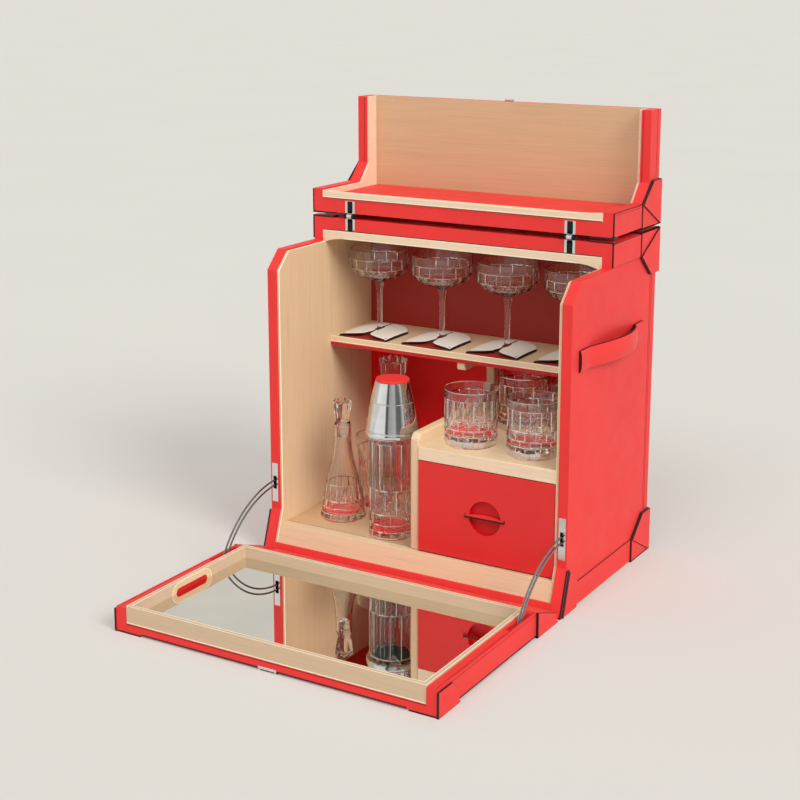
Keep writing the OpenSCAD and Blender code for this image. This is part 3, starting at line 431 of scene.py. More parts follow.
class Piece:
    """Collects the faces of one piece in millimetres, then makes it ride on its body.

    both adds the same faces again on the left, as a mirror image.
    """

    def __init__(self, name, body, mats, slot=None, replaces=(), both=False):
        self.name, self.body, self.mats = name, body, mats
        self.slot, self.gone, self.both = slot, replaces, both
        self.verts, self.faces, self.face_mats = [], [], []

    def add(self, verts, faces, mat=0):
        """mat is a material's name, its number, or a list with one number for each face."""
        start = len(self.verts)
        index = self.mats.index(mat) if isinstance(mat, str) else mat
        self.verts += [tuple(v) for v in verts]
        for n, face in enumerate(faces):
            self.faces.append([start + i for i in face])
            self.face_mats.append(index if not isinstance(index, list) else index[n])

    def finish(self, sharp=30, bevel=None):
        if self.both:
            count = len(self.verts)
            self.verts += [(-x, y, z) for x, y, z in self.verts]
            self.faces += [[count + i for i in reversed(f)] for f in self.faces]
            self.face_mats += self.face_mats
        mesh = bpy.data.meshes.new(self.name)
        mesh.from_pydata([P(*v) for v in self.verts], [], self.faces)
        for mat in self.mats:
            mesh.materials.append(MAT[mat])
        for face, index in zip(mesh.polygons, self.face_mats):
            face.material_index = index
            face.use_smooth = True
        bm = bmesh.new()
        bm.from_mesh(mesh)
        bmesh.ops.recalc_face_normals(bm, faces=bm.faces)
        bm.to_mesh(mesh)
        bm.free()
        mesh.set_sharp_from_angle(angle=radians(sharp))
        made = linked(bpy.data.objects.new(self.name, mesh))
        if bevel:
            soften(made, bevel)
        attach(made, self.body)
        if self.gone:
            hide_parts(*self.gone)
        return made


def soften(item, width, segments=2, harden=True):
    """Rounds an object's edges by that many millimetres, where they turn by more than 32°."""
    modifier = item.modifiers.new("edges", "BEVEL")
    modifier.width = width / 1000
    modifier.segments = segments
    modifier.limit_method = "ANGLE"
    modifier.angle_limit = radians(32)
    modifier.harden_normals = harden
    modifier.use_clamp_overlap = True


def inset(outline, d):
    """A closed outline moved inwards by d. The outline runs anticlockwise."""
    least = 0.35  # keeps a sharp corner from moving too far
    out = []
    n = len(outline)
    for i in range(n):
        a, b, c = outline[i - 1], outline[i], outline[(i + 1) % n]
        e1 = Vector((b[0] - a[0], b[1] - a[1])).normalized()
        e2 = Vector((c[0] - b[0], c[1] - b[1])).normalized()
        n1, n2 = Vector((-e1.y, e1.x)), Vector((-e2.y, e2.x))
        m = (n1 + n2).normalized()
        k = d / max(least, m.dot(n1))
        out.append((b[0] + m.x * k, b[1] + m.y * k))
    return out


def bands(rings, n, closed=False):
    """The faces between rings of n points. closed joins the last ring to the first."""
    faces = []
    for k in range(rings if closed else rings - 1):
        a, b = k * n, (k + 1) % rings * n
        for i in range(n):
            j = (i + 1) % n
            faces.append([a + i, a + j, b + j, b + i])
    return faces


def plate(piece, outline, to3, t, w0=0.0, lip=0.5):
    """A plate with broad faces in the piece's first material and a cut edge in its second."""
    area = sum(a[0] * b[1] - b[0] * a[1] for a, b in zip(outline, outline[1:] + outline[:1]))
    if area < 0:
        outline = outline[::-1]
    n = len(outline)
    rings = [[to3(u, v, w0) for u, v in outline],
             [to3(u, v, w0 + t - lip) for u, v in outline],
             [to3(u, v, w0 + t) for u, v in inset(outline, lip)]]
    broad = [list(range(n))[::-1], list(range(2 * n, 3 * n))]
    piece.add([p for ring in rings for p in ring], broad + bands(3, n), [0, 0] + [1] * (2 * n))


def ribbon(piece, points, normal, w, h, mat=0, closed=False):
    """A low rounded strip of width w and height h along points that lie on a face."""
    pts = [Vector(p) for p in points]
    up = Vector(normal).normalized()
    n = len(pts)
    profile = [(-0.5, -0.1), (-0.5, 0.45), (-0.25, 0.9), (0.25, 0.9), (0.5, 0.45), (0.5, -0.1)]
    least = 0.4  # keeps a sharp turn from reaching too far out
    verts, m = [], len(profile)
    for i, p in enumerate(pts):
        d1 = (p - pts[i - 1]).normalized() if i or closed else None
        d2 = (pts[(i + 1) % n] - p).normalized() if i < n - 1 or closed else None
        d1, d2 = d1 or d2, d2 or d1
        s1, s2 = up.cross(d1), up.cross(d2)
        side = (s1 + s2).normalized()
        side = side / max(least, side.dot(s1))
        verts += [p + side * (a * w) + up * (b * h) for a, b in profile]
    faces = bands(n, m, closed)
    if not closed:
        faces += [list(range(m)), [(n - 1) * m + k for k in range(m)][::-1]]
    piece.add(verts, faces, mat)


def across(piece, x, y, z, w, h, mat=0, normal=FRONT):
    """A straight strip from x on the right to the middle."""
    ribbon(piece, [(x, y, z), (0, y, z)], normal, w, h, mat)


def turned(piece, at, z0, profile, turns, shape=None):
    """A turned body from a profile of radii and heights, which starts and ends on the axis.

    turns is a list of angles, or how many even ones. shape() may carve the radius. It gets the
    vertex's number in the piece, the profile point's, the radius, the height and the angle.
    """
    if isinstance(turns, int):
        turns = [2 * pi * k / turns for k in range(turns)]
    n = len(turns)
    rows, verts, faces = [], [], []
    for index, (r, z) in enumerate(profile):
        if r < 1e-6:
            rows.append([len(verts)] * n)
            verts.append((at[0], at[1], z0 + z))
            continue
        rows.append([])
        for a in turns:
            q = shape(len(verts), index, r, z, a) if shape else r
            rows[-1].append(len(verts))
            verts.append((at[0] + q * cos(a), at[1] + q * sin(a), z0 + z))
    for a, b in zip(rows, rows[1:]):
        for k in range(n):
            l = (k + 1) % n
            faces.append(list(dict.fromkeys((a[k], a[l], b[l], b[k]))))
    piece.add(verts, faces)


def sheet(rows, columns, flip=False):
    """The faces between two equal grids of points, one over the other, and those of the edge."""
    n = rows * columns
    grid = [list(range(i * columns, (i + 1) * columns)) for i in range(rows)]
    faces = []
    for this, after in zip(grid, grid[1:]):
        for a, b, c, d in zip(this, this[1:], after[1:], after):
            faces += [[a, b, c, d], [n + a, n + d, n + c, n + b]]
    ring = grid[0] + [row[-1] for row in grid[1:]]
    ring += grid[-1][-2::-1] + [row[0] for row in grid[-2:0:-1]]
    edge = [[a, n + a, n + b, b] for a, b in zip(ring, ring[1:] + ring[:1])]
    if flip:
        faces, edge = ([f[:1] + f[:0:-1] for f in group] for group in (faces, edge))
    return faces, edge


def slab(piece, low, high, mat=0):
    """A block between two corners."""
    (x0, y0, z0), (x1, y1, z1) = low, high
    verts = [(x, y, z) for z in (z0, z1) for x, y in ((x0, y0), (x1, y0), (x1, y1), (x0, y1))]
    faces = [(0, 3, 2, 1), (4, 5, 6, 7), (0, 1, 5, 4), (1, 2, 6, 5), (2, 3, 7, 6), (3, 0, 4, 7)]
    piece.add(verts, faces, mat)


# ---- finishes of the CAD nodes

WELD_DISTANCE = 0.00002  # metres
# the nodes of one material and one softening of the edges, in millimetres
FLAT_FACED = (
    ("red", 1.2, "body_shell lid_shell flap_shell"), ("red", 0.4, "body_bands keeper_patch"),
    ("drawer", 1.0, "drawer_front"), ("deep", 0.6, "shelf_leather"),
    ("back", 0.3, "back_panel coupe_pockets"), ("maple_x", 0.8, "cabinet_top"),
    ("maple_x", 0.6, "floor_front"), ("maple_x", 0.5, "shelf"),
    ("maple_y", 0.5, "floor_bearers drawer_box"), ("maple_post", 2.6, "divider"),
    ("maple_z", 0.5, "side_lining_left side_lining_right"), ("maple_pale", 0.5, "ceiling lid_rim"),
    ("maple_floor", 0.4, "floor_board"), ("maple_panel", 0.4, "lid_back_panel"),
    ("maple_tray", 0.6, "tray_frame"), ("mirror", 0.3, "tray_mirror"),
    ("chrome", 0.4, "lid_keeper"), ("steel", 0.3, "stay_plates flap_hinge_fixed flap_hinge_moving"),
)
ROUNDED = (
    ("red", 0.6, "shaker_disc"), ("chrome", 0.5, "turn_latch"), ("chrome", 0.2, "lid_hinge_pins"),
    ("chrome", 0.4, "lid_hinge_lower lid_hinge_upper"), ("steel", 0.2, "flap_hinge_pins stay_pins"),
    ("rod", 0.05, "stay_left stay_right"),
)


def dress(name, mat, width, rounded):
    """Gives a CAD node its material, its shading and softened edges."""
    item = nodes[name]
    mesh = item.data
    mesh.materials.clear()
    mesh.materials.append(MAT[mat])
    for face in mesh.polygons:
        face.use_smooth = rounded
        face.material_index = 0
    if "custom_normal" in mesh.attributes:
        mesh.attributes.remove(mesh.attributes["custom_normal"])
    weld = item.modifiers.new("weld", "WELD")
    weld.merge_threshold = WELD_DISTANCE
    soften(item, width, 3, rounded)


for table, rounded in ((FLAT_FACED, False), (ROUNDED, True)):
    for mat, width, names in table:
        for name in names.split():
            dress(name, mat, width, rounded)


def paint(name, mat, test):
    """Gives some faces of a CAD node another material, by the middle of each face."""
    mesh = nodes[name].data
    mesh.materials.append(MAT[mat])
    for face in mesh.polygons:
        c = face.center
        if test(c.x * 1000, c.y * 1000 - Y_SHIFT, c.z * 1000):
            face.material_index = 1


# the drawer pull's recess gets the darker red, painted shade
paint("drawer_front", "recess",
      lambda x, y, z: 25.5 < y < 33 and hypot(x - 120, z - 115.7) < 25.8)
# the fronts of the shelf and the cabinet top are paler than their tops: painted light, lit fronts
# and shaded tops
paint("shelf", "maple_lit_front", lambda x, y, z: y < 164)
paint("cabinet_top", "maple_pale", lambda x, y, z: y < 27)
# black faces painted as shade: the lower hinge leaf's recess and the gaps in the latch; the lid
# hinge pins are black all over
paint("lid_hinge_lower", "black", lambda x, y, z: y < 151.5 and z > 505.5)
paint("turn_latch", "black", lambda x, y, z: y < -337.5 and abs(x) < 10 or abs(x) > 13.6)
paint("lid_hinge_pins", "black", lambda x, y, z: True)


# ---- guards, feet and edge lines

def side_face(y0, z0, ys=1, zs=1):
    """Plate coordinates on the right side wall, from a corner at y0 and z0."""
    return lambda u, v, w: Vector((SIDE_X + w, y0 + ys * u, z0 + zs * v))


def rear_face(z0, zs=1):
    """Plate coordinates on the rear wall, from its right edge at z0."""
    return lambda u, v, w: Vector((SIDE_X - u, REAR_Y + w, z0 + zs * v))


def flat_face(y0, z0, ys=1):
    """Plate coordinates on a level face, from the right at y0."""
    return lambda u, v, w: (SIDE_X + GUARD - u, y0 + ys * v, z0 + w)


def oblong(w, h):
    return [(0, 0), (w, 0), (w, h), (0, h)]


CORNER = [(0, 0), (68, 0), (68, 36), (30.6, 68), (0, 68)]
FOLD = [(0, 0.5), (67.2, 36), (30.6, 67.4), (0, 67.4)]
RIM_BAND = [(0.2, 4), (1.4, 1.4), (4, 0.2), (100, 0.2), (100, 34), (0.2, 34)]
RIM_TAB = oblong(38, 15)
FOOT_SLOPE = 0.343  # how far the front of the foot leans back on each millimetre of height


def corner_leathers(piece, z0, zs):
    """The leather round a rear corner: a plate on the side and one on the rear, each folded."""
    for to3 in (side_face(REAR_Y + GUARD, z0, -1, zs), rear_face(z0, zs)):
        plate(piece, CORNER, to3, GUARD)
        plate(piece, FOLD, to3, 2.2, w0=GUARD)
        normal = to3(0, 0, 1) - to3(0, 0, 0)
        ribbon(piece, [to3(u, v, GUARD) for u, v in ((67.2, 0.6), (67.2, 36), (30.6, 67.2))],
               normal, 2.2, 0.9, "edge")


def rim_line(piece, heights):
    """The dark cut edge that runs along the side and over a corner of the rim to the front."""
    outwards = (251.2, 251.2, 250.7, 249.4, 247.2, 214.5)
    ribbon(piece, [(x, FRONT_Y, z) for x, z in zip(outwards, heights)], FRONT, 2.4, 0.2, "edge")


def body_trim():
    """The case's corner and rim leathers, dark and pale lines, and black gaps round the drawer: the
    pale lines are painted highlights, the creases and the black gaps painted shade.
    """
    p = Piece("body_guard_leather", "case", ["red", "edge"], "red_leather", ("body_guards",), True)
    corner_leathers(p, BODY_TOP + GUARD, -1)
    corner_leathers(p, 0, 1)
    for z in (0, BODY_TOP):
        plate(p, CORNER, flat_face(REAR_Y + GUARD, z, -1), GUARD)
    # the front foot
    plate(p, [(0.9, 0), (21.8, 63.6), (29.5, 63.6), (55, 42), (55, 0)], side_face(0, 0), 2.6)
    plate(p, [(0, 0), (40, 0), (62, 22), (62, 54), (0, 54)], flat_face(0.9, 0), GUARD)
    ribbon(p, [(252.6, 5.4, 1.2), (252.6, 25.6, 62.8)], RIGHT, 4.8, 2.7, "edge")
    # the top rim's band starts at a dark cut edge in front
    plate(p, RIM_BAND, side_face(FRONT_Y, BODY_TOP, 1, -1), 2.3)
    plate(p, RIM_TAB, flat_face(FRONT_Y, BODY_TOP), GUARD)
    p.finish(sharp=25)
    c = Piece("body_edge_lines", "case", ["edge", "crease"], "red_leather", (), True)
    ribbon(c, [(251, 55, 36.5), (251, 251, 36.5)], RIGHT, 1.2, 0.5, "edge")
    rim_line(c, (471, 502.6, 504.8, 506.1, 506.6, 506.6))
    across(c, 234, FRONT_Y, 485.9, 1.2, 0.2, "edge")
    # two crease lines on the side wall, darker red as painted shade
    for y, w, h in ((302, 0.9, 0.35), (297, 0.7, 0.3)):
        ribbon(c, [(SIDE_X, y, 70), (SIDE_X, y, 438)], RIGHT, w, h, "crease")
    for z in (471, 36.5):
        across(c, 182, 318, z, 1.2, 0.5, "edge", REAR)
    c.finish()
    # pale lines along the maple edges, painted highlights
    v = Piece("body_edge_highlights", "case", ["ivory"], "maple", (), True)
    ribbon(v, [(230.6, y, z) for y, z in ((2.4 + FOOT_SLOPE * 18, 18.5), (25.4, 67),
                                          (25.4, 440.5), (52, 466.6), (FRONT_Y, 466.6))],
           (-0.6, -1, 0), 1.5, 0.3)
    across(v, 233.5, FRONT_Y, 484.4, 1.6, 0.2)
    across(v, 197, FRONT_Y, 473.8, 1.6, 0.2)
    across(v, 229.8, 163, 314.2, 1.4, 0.3)
    across(v, 229.8, 163, 306.0, 1.4, 0.3)
    v.finish()
    d = Piece("case_gap_shade_and_floor_joint", "case", ["black", "joint"], "maple")
    # black sheets in the gaps round the drawer front, painted shade; the last lies on the floor
    # under the drawer
    slab(d, (11.2, 27, 185.1), (229.2, 37, 185.9))
    slab(d, (10.1, 27.5, 48), (10.9, 37, 185.9))
    slab(d, (229.1, 27.5, 48), (229.9, 37, 185.9))
    slab(d, (11.2, 27.5, 46.04), (229.2, 37, 46.22))
    ribbon(d, [(-229.8, 34.7, BAY_Z), (-4.2, 34.7, BAY_Z)], UP, 0.9, 0.2, "joint")
    d.finish()


def lid_trim():
    """The lid's corner and rim leathers, the fold along its front, and its lines."""
    p = Piece("lid_guard_leather", "lid", ["red", "edge"], "red_leather", ("lid_guards",), True)
    corner_leathers(p, LID_FOOT, 1)
    plate(p, CORNER, flat_face(REAR_Y + GUARD, LID_FOOT, -1), GUARD)
    plate(p, RIM_TAB, flat_face(FRONT_Y, LID_FOOT), GUARD)
    plate(p, RIM_BAND, side_face(FRONT_Y, LID_FOOT + GUARD), 2.3)
    p.finish(sharp=25)
    b = Piece("lid_front_fold", "lid", ["red"], "red_leather", (), True)
    across(b, 234.4, FRONT_Y, 534.2, 2.2, 0.25)
    b.finish()
    c = Piece("lid_edge_lines", "lid", ["edge", "crease"], "red_leather", (), True)
    # the crease lines here are darker red, painted shade
    ribbon(c, [(252.3, 153, 544.6), (252.3, 250, 544.6)], RIGHT, 0.8, 0.35, "crease")
    ribbon(c, [(238, 280, 577), (238, 280, 680)], FRONT, 1.0, 0.4, "crease")
    across(c, 234, FRONT_Y, 535.4, 1.1, 0.3, "edge")
    rim_line(c, (548.5, 517, 514.8, 513.4, 512.7, 512.7))
    ribbon(c, [(SIDE_X, 305, 585), (SIDE_X, 305, 681)], RIGHT, 0.8, 0.35, "crease")
    c.finish()
    # pale lines along the lid's maple edges, painted highlights
    v = Piece("lid_edge_highlights", "lid", ["ivory"], "maple", (), True)
    across(v, 196, FRONT_Y, 544.3, 1.5, 0.25)
    across(v, 234, FRONT_Y, 536.8, 1.5, 0.25)
    v.finish()


def tray_trim():
    """Pale lines painted as highlights along the tray frame's edges, and a chamfered finger slot in
    each end wall, closed at the back by a darker red that is painted shade.
    """
    v = Piece("tray_edge_highlights", "tray", ["ivory"], "maple")
    for x, y0, y1 in ((233.6, -339.3, -71.5), (228.0, -333.7, -77.1)):
        ribbon(v, [(x, y0, 39.5), (x, y1, 39.5), (-x, y1, 39.5), (-x, y0, 39.5)], UP,
               1.0, 0.2, closed=True)
    ribbon(v, [(233.8, -340, 15.6), (-233.8, -340, 15.6)], FRONT, 1.5, 0.3)
    v.finish()
    p = Piece("tray_slot_chamfers", "tray", ["maple_y", "recess", "ivory"], "maple", (), True)
    mirror_top = 22.2

    def stadium(y0, y1, z0, z1, x):
        """An outline with round ends, cut off level where it meets the mirror."""
        r, zc, n = (z1 - z0) / 2, (z0 + z1) / 2, 10
        pts = []
        for y, start in ((y1 - r, -90), (y0 + r, 90)):
            for k in range(n + 1):
                a = radians(start + 180 * k / n)
                pts.append((x, y + r * cos(a), max(mirror_top, zc + r * sin(a))))
        return pts

    outer = stadium(-250, -161, 8.6, 38.2, 227.05)
    inner = stadium(-241, -171, 17.0, 29.6, 227.15)
    back = [(227.35, y, z) for x, y, z in outer]
    n = len(outer)
    # the slot's inner face is the darker red, painted shade inside the slot
    p.add(outer + inner + back,
          bands(2, n) + [[n + i for i in range(n)]]
          + [[2 * n + i, 2 * n + (i + 1) % n, (i + 1) % n, i] for i in range(n)]
          + [[2 * n + i for i in reversed(range(n))]],
          [0] * n + [1] + [0] * (n + 1))
    # a pale ring round the slot, painted highlight
    ribbon(p, outer, (-1, 0, 0), 1.0, 0.3, "ivory", closed=True)
    p.finish()


def flap_trim():
    """The flap's corner leathers, the lines along its edges, and a bright bar by its latch."""
    p = Piece("flap_guard_leather", "flap", ["red", "edge"], "red_leather", ("flap_guards",), True)
    front, rear = -341.0, -71.0  # the flap's edges

    def side(u, v, w):
        return (SIDE_X + w, u, v)

    plate(p, [(-342.2, 0), (-342.2, 34), (-307, 34), (-289, 17), (-289, 0)], side, 2.6)
    plate(p, oblong(42.5, 53), flat_face(front, 0), GUARD)
    plate(p, [(-70.5, 0), (-70.5, 37), (-8.5, 14.2), (-8.5, 2.5), (-6.4, 0)], side, 2.6)
    plate(p, oblong(42.5, 64), flat_face(-70.5, 0), GUARD)
    p.finish(sharp=25)
    c = Piece("flap_edge_lines", "flap", ["edge", "crease"], "red_leather", (), True)
    ribbon(c, [(SIDE_X, -289, 3.4), (SIDE_X, rear, 3.4)], RIGHT, 1.8, 0.6, "edge")
    ribbon(c, [(207, front, 3.4), (14.8, front, 3.4)], FRONT, 1.9, 0.6, "edge")
    # the crease-coloured lines on the flap are darker red, painted shade
    across(c, 234, front, 13.5, 1.2, 0.3, "crease")
    ribbon(c, [(252.4, -70.0, 1.0), (252.4, -70.0, 36)], RIGHT, 2.4, 1.2, "edge")
    ribbon(c, [(252.4, -342.0, 1.0), (252.4, -342.0, 33.4)], RIGHT, 2.0, 0.8, "edge")
    ribbon(c, [(SIDE_X, -338, 33.6), (SIDE_X, rear, 33.6)], RIGHT, 0.8, 0.35, "crease")
    ribbon(c, [(246.4, -338, 37), (246.4, rear, 37)], UP, 0.8, 0.35, "crease")
    c.finish()
    bar = Piece("latch_bar", "flap", ["chrome"], "polished_steel")
    slab(bar, (-14.6, -342.2, 2.6), (14.6, -340.9, 6.4))
    bar.finish(bevel=0.4)


def slot_shades():
    """Black sheets in the hinges' slots and behind the stays' plates, painted shade in these
    hollows.
    """
    p = Piece("body_slot_shade", "case", ["black"], "polished_steel", (), True)
    slab(p, (180.2, 150.7, 486.4), (188.8, 152.7, 504.0))
    slab(p, (180.6, 150.7, 501.4), (188.4, 151.2, 504.8))
    for x0, x1 in ((239.35, 239.75), (244.85, 245.25)):
        slab(p, (x0, 24.0, 98.8), (x1, 60.0, 119.2))
    slab(p, (239.35, 25.0, 98.75), (245.25, 60.0, 99.1))
    slab(p, (239.35, 25.0, 118.9), (245.25, 60.0, 119.25))
    p.finish()
    q = Piece("lid_slot_shade", "lid", ["black"], "polished_steel", (), True)
    slab(q, (180.2, 150.7, 515.0), (188.8, 152.7, 532.4))
    slab(q, (180.6, 150.7, 514.0), (188.4, 151.2, 517.4))
    q.finish()


# ---- soft leather pieces

def lid_pad():
    """A padded leather face that is crowned, with its front corners cut off."""
    x1, y0, y1, z0 = 229.4, 161.5, 302.5, 533.0
    cut, shoulder, edge_height, height, bow = 16.0, 9.0, 3.4, 7.0, 1.6
    nx, ny = 64, 24
    verts = []

    def reach(y):
        return x1 - max(0.0, cut - (y - y0))

    def level(x, y):
        side = min(1.0, (reach(y) - abs(x)) / shoulder)
        along = min(1.0, min(y - y0, y1 - y) / shoulder)
        rise = sin(pi / 2 * max(side, 0)) * sin(pi / 2 * max(along, 0))
        crown = bow * (1 - (x / x1) ** 2) * (1 - ((y - (y0 + y1) / 2) / ((y1 - y0) / 2)) ** 2)
        return z0 + edge_height + (height - edge_height) * rise ** 0.5 + crown

    def eased(i, n):
        return 0.5 - 0.5 * cos(pi * (i / n))

    for upper in (True, False):
        for j in range(ny + 1):
            y = y0 + (y1 - y0) * eased(j, ny)
            for i in range(nx + 1):
                x = -reach(y) + 2 * reach(y) * eased(i, nx)
                verts.append((x, y, level(x, y) if upper else z0))
    faces, edge = sheet(ny + 1, nx + 1)
    p = Piece("lid_pad_leather", "lid", ["red"], "red_leather", ("lid_pad",))
    p.add(verts, faces + edge)
    made = p.finish(sharp=50)


def petals():
    """Two bowed leather petals over each pocket, with dark cut edges."""
    steps_u, steps_v, t = 18, 20, 1.4
    near_x, far_x, reach = 5, 41.8, 36.8  # from the pocket's middle to a petal's ends
    slit_y, slit_half = 52, 6             # the gap for a coupe's stem, from the pocket's front
    front_y, rear_y, rear_bow = 34, 67, 23
    base, arch, puff = 1.1, 4.2, 0.8      # heights over the shelf, at the ends and in the middle
    p = Piece("pocket_petal_leather", "case", ["cream", "edge"], "petal_leather",
              ("pocket_petals",))
    faces, edge = sheet(steps_u + 1, steps_v + 1, flip=True)
    mats = [0] * len(faces) + [1] * len(edge)
    for cx in COUPE_X:
        for s in (-1, 1):
            verts = []
            for i in range(steps_u + 1):
                x = near_x + reach * (sin(pi / 2 * i / steps_u))
                fm = max(0.0, 1 - ((far_x - x) / reach) ** 2.8)
                fr = max(0.0, 1 - ((x - near_x) / reach) ** 2)
                ya, yb = front_y - front_y * fm ** 0.36, rear_y + rear_bow * fr ** 0.7
                h = base + arch * sqrt(max(0.0, 1 - ((x - near_x) / 37.2) ** 2))
                for j in range(steps_v + 1):
                    y = ya + (yb - ya) * j / steps_v
                    lift = h + puff * sin(pi * j / steps_v)
                    room = min(1.0, max(0.0, (abs(y - slit_y) - slit_half) / 8))
                    close = 3.6 * room * max(0.0, 1 - (x - near_x) / 14)
                    verts.append((cx + s * (x - close), POCKET_Y + y, SHELF_Z + lift))
            verts += [(x, y, z + t) for x, y, z in verts]
            p.add(verts, faces + edge, mats)
    p.finish(sharp=40)
    d = Piece("pocket_front_edges", "case", ["edge"], "red_leather")
    for cx in COUPE_X:
        ribbon(d, [(cx - 41.8, 164.6, 314.6), (cx + 41.8, 164.6, 314.6)], (0, -1, 0.3), 2.2, 0.9)
        for x in (cx - 42.2, cx + 42.2):
            ribbon(d, [(x, 165.5, 315.2), (x, 232, 315.2)], UP, 2.2, 2.0)
    d.finish()
    studs = Piece("pocket_studs", "case", ["chrome"], "polished_steel")
    dome = [(0, 0), (1.9, 0), (1.9, 0.5), (1.5, 1.1), (0.8, 1.5), (0, 1.6)]
    for cx in COUPE_X:
        for x in (cx - 38.6, cx + 38.6):
            turned(studs, (x, POCKET_Y + 5.5), SHELF_Z + 3.6, dome, 16)
    studs.finish(sharp=60)


def handles():
    """A bowed strap on each side, with a flat end piece where it meets the wall."""
    p = Piece("carry_handle_leather", "case", ["red", "edge"], "red_leather", ("carry_handles",),
              True)
    y0, y1, zc, w, t, out = 47.0, 269.0, 358.5, 31.0, 3.6, 16.6
    dome, rim, bow_start, bow_length = 1.1, 1.2, 76, 164
    # the section's domed outer face, as pairs of outward offset and height
    face = [(t - 1.0 + dome * (1 - v * v) + (1 - abs(v) ** 6), v * (w - rim) / 2)
            for v in (-1 + i / 5 for i in range(11))]
    steps, ahead = 90, 0.012
    verts = []
    ring = len(face) + 2

    def centre(f):
        """The strap's middle line: how far along y, and how far out from the wall."""
        y = y0 + (y1 - y0) * f
        u = min(1.0, max(0.0, (y - bow_start) / bow_length)) ** 1.3
        return y, out * sin(pi * u) ** 0.8 if 0 < u < 1 else 0.0

    for k in range(steps + 1):
        f = k / steps
        y, x = centre(f)
        ya, xa = centre(min(1.0, f + ahead))
        yb, xb = centre(max(0.0, f - ahead))
        d = Vector((xa - xb, ya - yb)).normalized()
        nx, ny = d.y, -d.x
        verts += [(SIDE_X + x + nx * off, y + ny * off, zc + v) for off, v in face]
        verts += [(SIDE_X + x, y, zc + v) for v in (w / 2, -w / 2)]
    ends = [list(range(ring)), [steps * ring + i for i in range(ring)][::-1]]
    p.add(verts, bands(steps + 1, ring) + ends,
          ([0] * (len(face) - 1) + [1] * 3) * steps + [1, 1])
    p.finish(sharp=40)


def drawer_pull():
    """A leather tongue across the recess, its cut edge dark."""
    p = Piece("drawer_pull_leather", "drawer", ["red", "edge"], "red_leather", ("drawer_pull",))
    cx, zc, y0, half = 120.0, 115.6, 25.0, 31.5
    straight, steps = 2.6, 24  # where the tongue's bow begins, and how many steps round it
    outline = [(-half, straight), (-half, -3), (half, -3), (half, straight), (26, straight)]
    for k in range(1, steps):
        u = 1 - 2 * k / steps
        outline.append((u * 24.6, straight + 3.8 * sqrt(1 - u * u)))
    outline.append((-26, straight))

    def to3(u, v, w):
        rise = 2.4 * (1 - (u / half) ** 2) * (v + 3) / 9.4
        return (cx + u, y0 + v, zc - 1.7 + w + rise)

    plate(p, outline, to3, 2.8, lip=0.3)
    for x in (-half - 0.6, half - 0.5):
        slab(p, (cx + x, y0 - 0.5, zc - 2.8), (cx + x + 1.1, y0 + 0.6, zc + 3.2), "edge")
    p.finish(sharp=35)


# ---- cut glass

GROOVE = 0.8  # the width of half a cut between two panels, and how deep most cuts are


def ease_rows(profile, rows, step):
    """Adds points to the outer profile at the rows' edges, beside them and in even steps."""
    heights = {z for low, high in rows
               for z in (low - GROOVE, low, low + GROOVE, high - GROOVE, high, high + GROOVE)}
    out = [profile[0]]
    for (r0, z0), (r1, z1) in zip(profile, profile[1:]):
        if z1 > z0 + 1e-6:
            inner = [z for z in heights if z0 + 0.05 < z < z1 - 0.05]
            marks = sorted([z0] + inner + [z1])
            for a, b in zip(marks, marks[1:]):
                n = max(1, int((b - a) / step))
                for k in range(1, n + 1):
                    z = a + (b - a) * k / n
                    out.append((r0 + (r1 - r0) * (z - z0) / (z1 - z0), z))
        else:
            out.append((r1, z1))
    return out


def cut_vessel(node, at, z0, outer, inner, rows, columns, deep=1.0, phase=0.0, step=7.0,
               groove=GROOVE, tilt=0.7, cuts="sparkle"):
    """A glass vessel with flat panels cut in rows, each row turned by half a panel.

    outer runs from the middle of the foot to the rim, inner from the rim back to the middle.
    """
    shaker = node == "shaker_glass"
    p = Piece("shaker_cut_glass" if shaker else node + "_glass", "shaker" if shaker else node,
              ["glass", cuts], "clear_glass", (node,))
    outer = ease_rows(outer, rows, step)
    count = len(outer)
    wide = 2 * pi / columns
    notch = GROOVE / max(r for r, z in outer)
    marks = (0, notch, wide / 4, wide / 2 - notch, wide / 2, wide / 2 + notch, wide * 3 / 4,
             wide - notch)
    foot = [i for i, (r, z) in enumerate(outer) if z < 2.7 and i > 2]
    bright = set(foot[-1:]) | {count - 1}  # the foot's upper edge and the rim
    marked = set()

    def lean(n, k):
        """Two numbers from -1 to 1, scattered but fixed, for each panel."""
        h = sin(12.9898 * (k % columns) + 78.233 * n + 37.7 * deep) * 43758.5453
        return 2 * (h % 1) - 1, 2 * (h * 7 % 1) - 1

    def carve(vertex, index, r, z, a):
        if index in bright:
            marked.add(vertex)
        if index >= count:
            return r
        cut = 0.0
        for n, (low, high) in enumerate(rows):
            if low - 0.01 <= z <= high + 0.01:
                turn = phase + (wide / 2 if n % 2 else 0)
                k = math.floor((a - turn) / wide + 0.5)
                d = a - turn - k * wide
                off = (wide / 2 - abs(d)) / notch
                near = min(z - low, high - z) / GROOVE
                flat = (r - r * cos(wide / 2) / cos(d)) * deep
                tu, tv = lean(n, k)
                facet = tilt * (1 + 0.5 * tu * d / (wide / 2)
                                + 0.5 * tv * (2 * z - low - high) / (high - low))
                seam = groove * max(0.0, 1 - min(off, near))
                if seam > 0.5 * groove:
                    marked.add(vertex)
                cut = max(cut, (flat + facet) * min(1.0, 0.3 + near) + seam)
        return r - cut

    turned(p, at, z0, outer + inner,
           [phase + c * wide + m for c in range(columns) for m in marks], carve)
    p.face_mats = [1 if marked & set(face) else 0 for face in p.faces]
    p.finish(sharp=8).visible_shadow = False


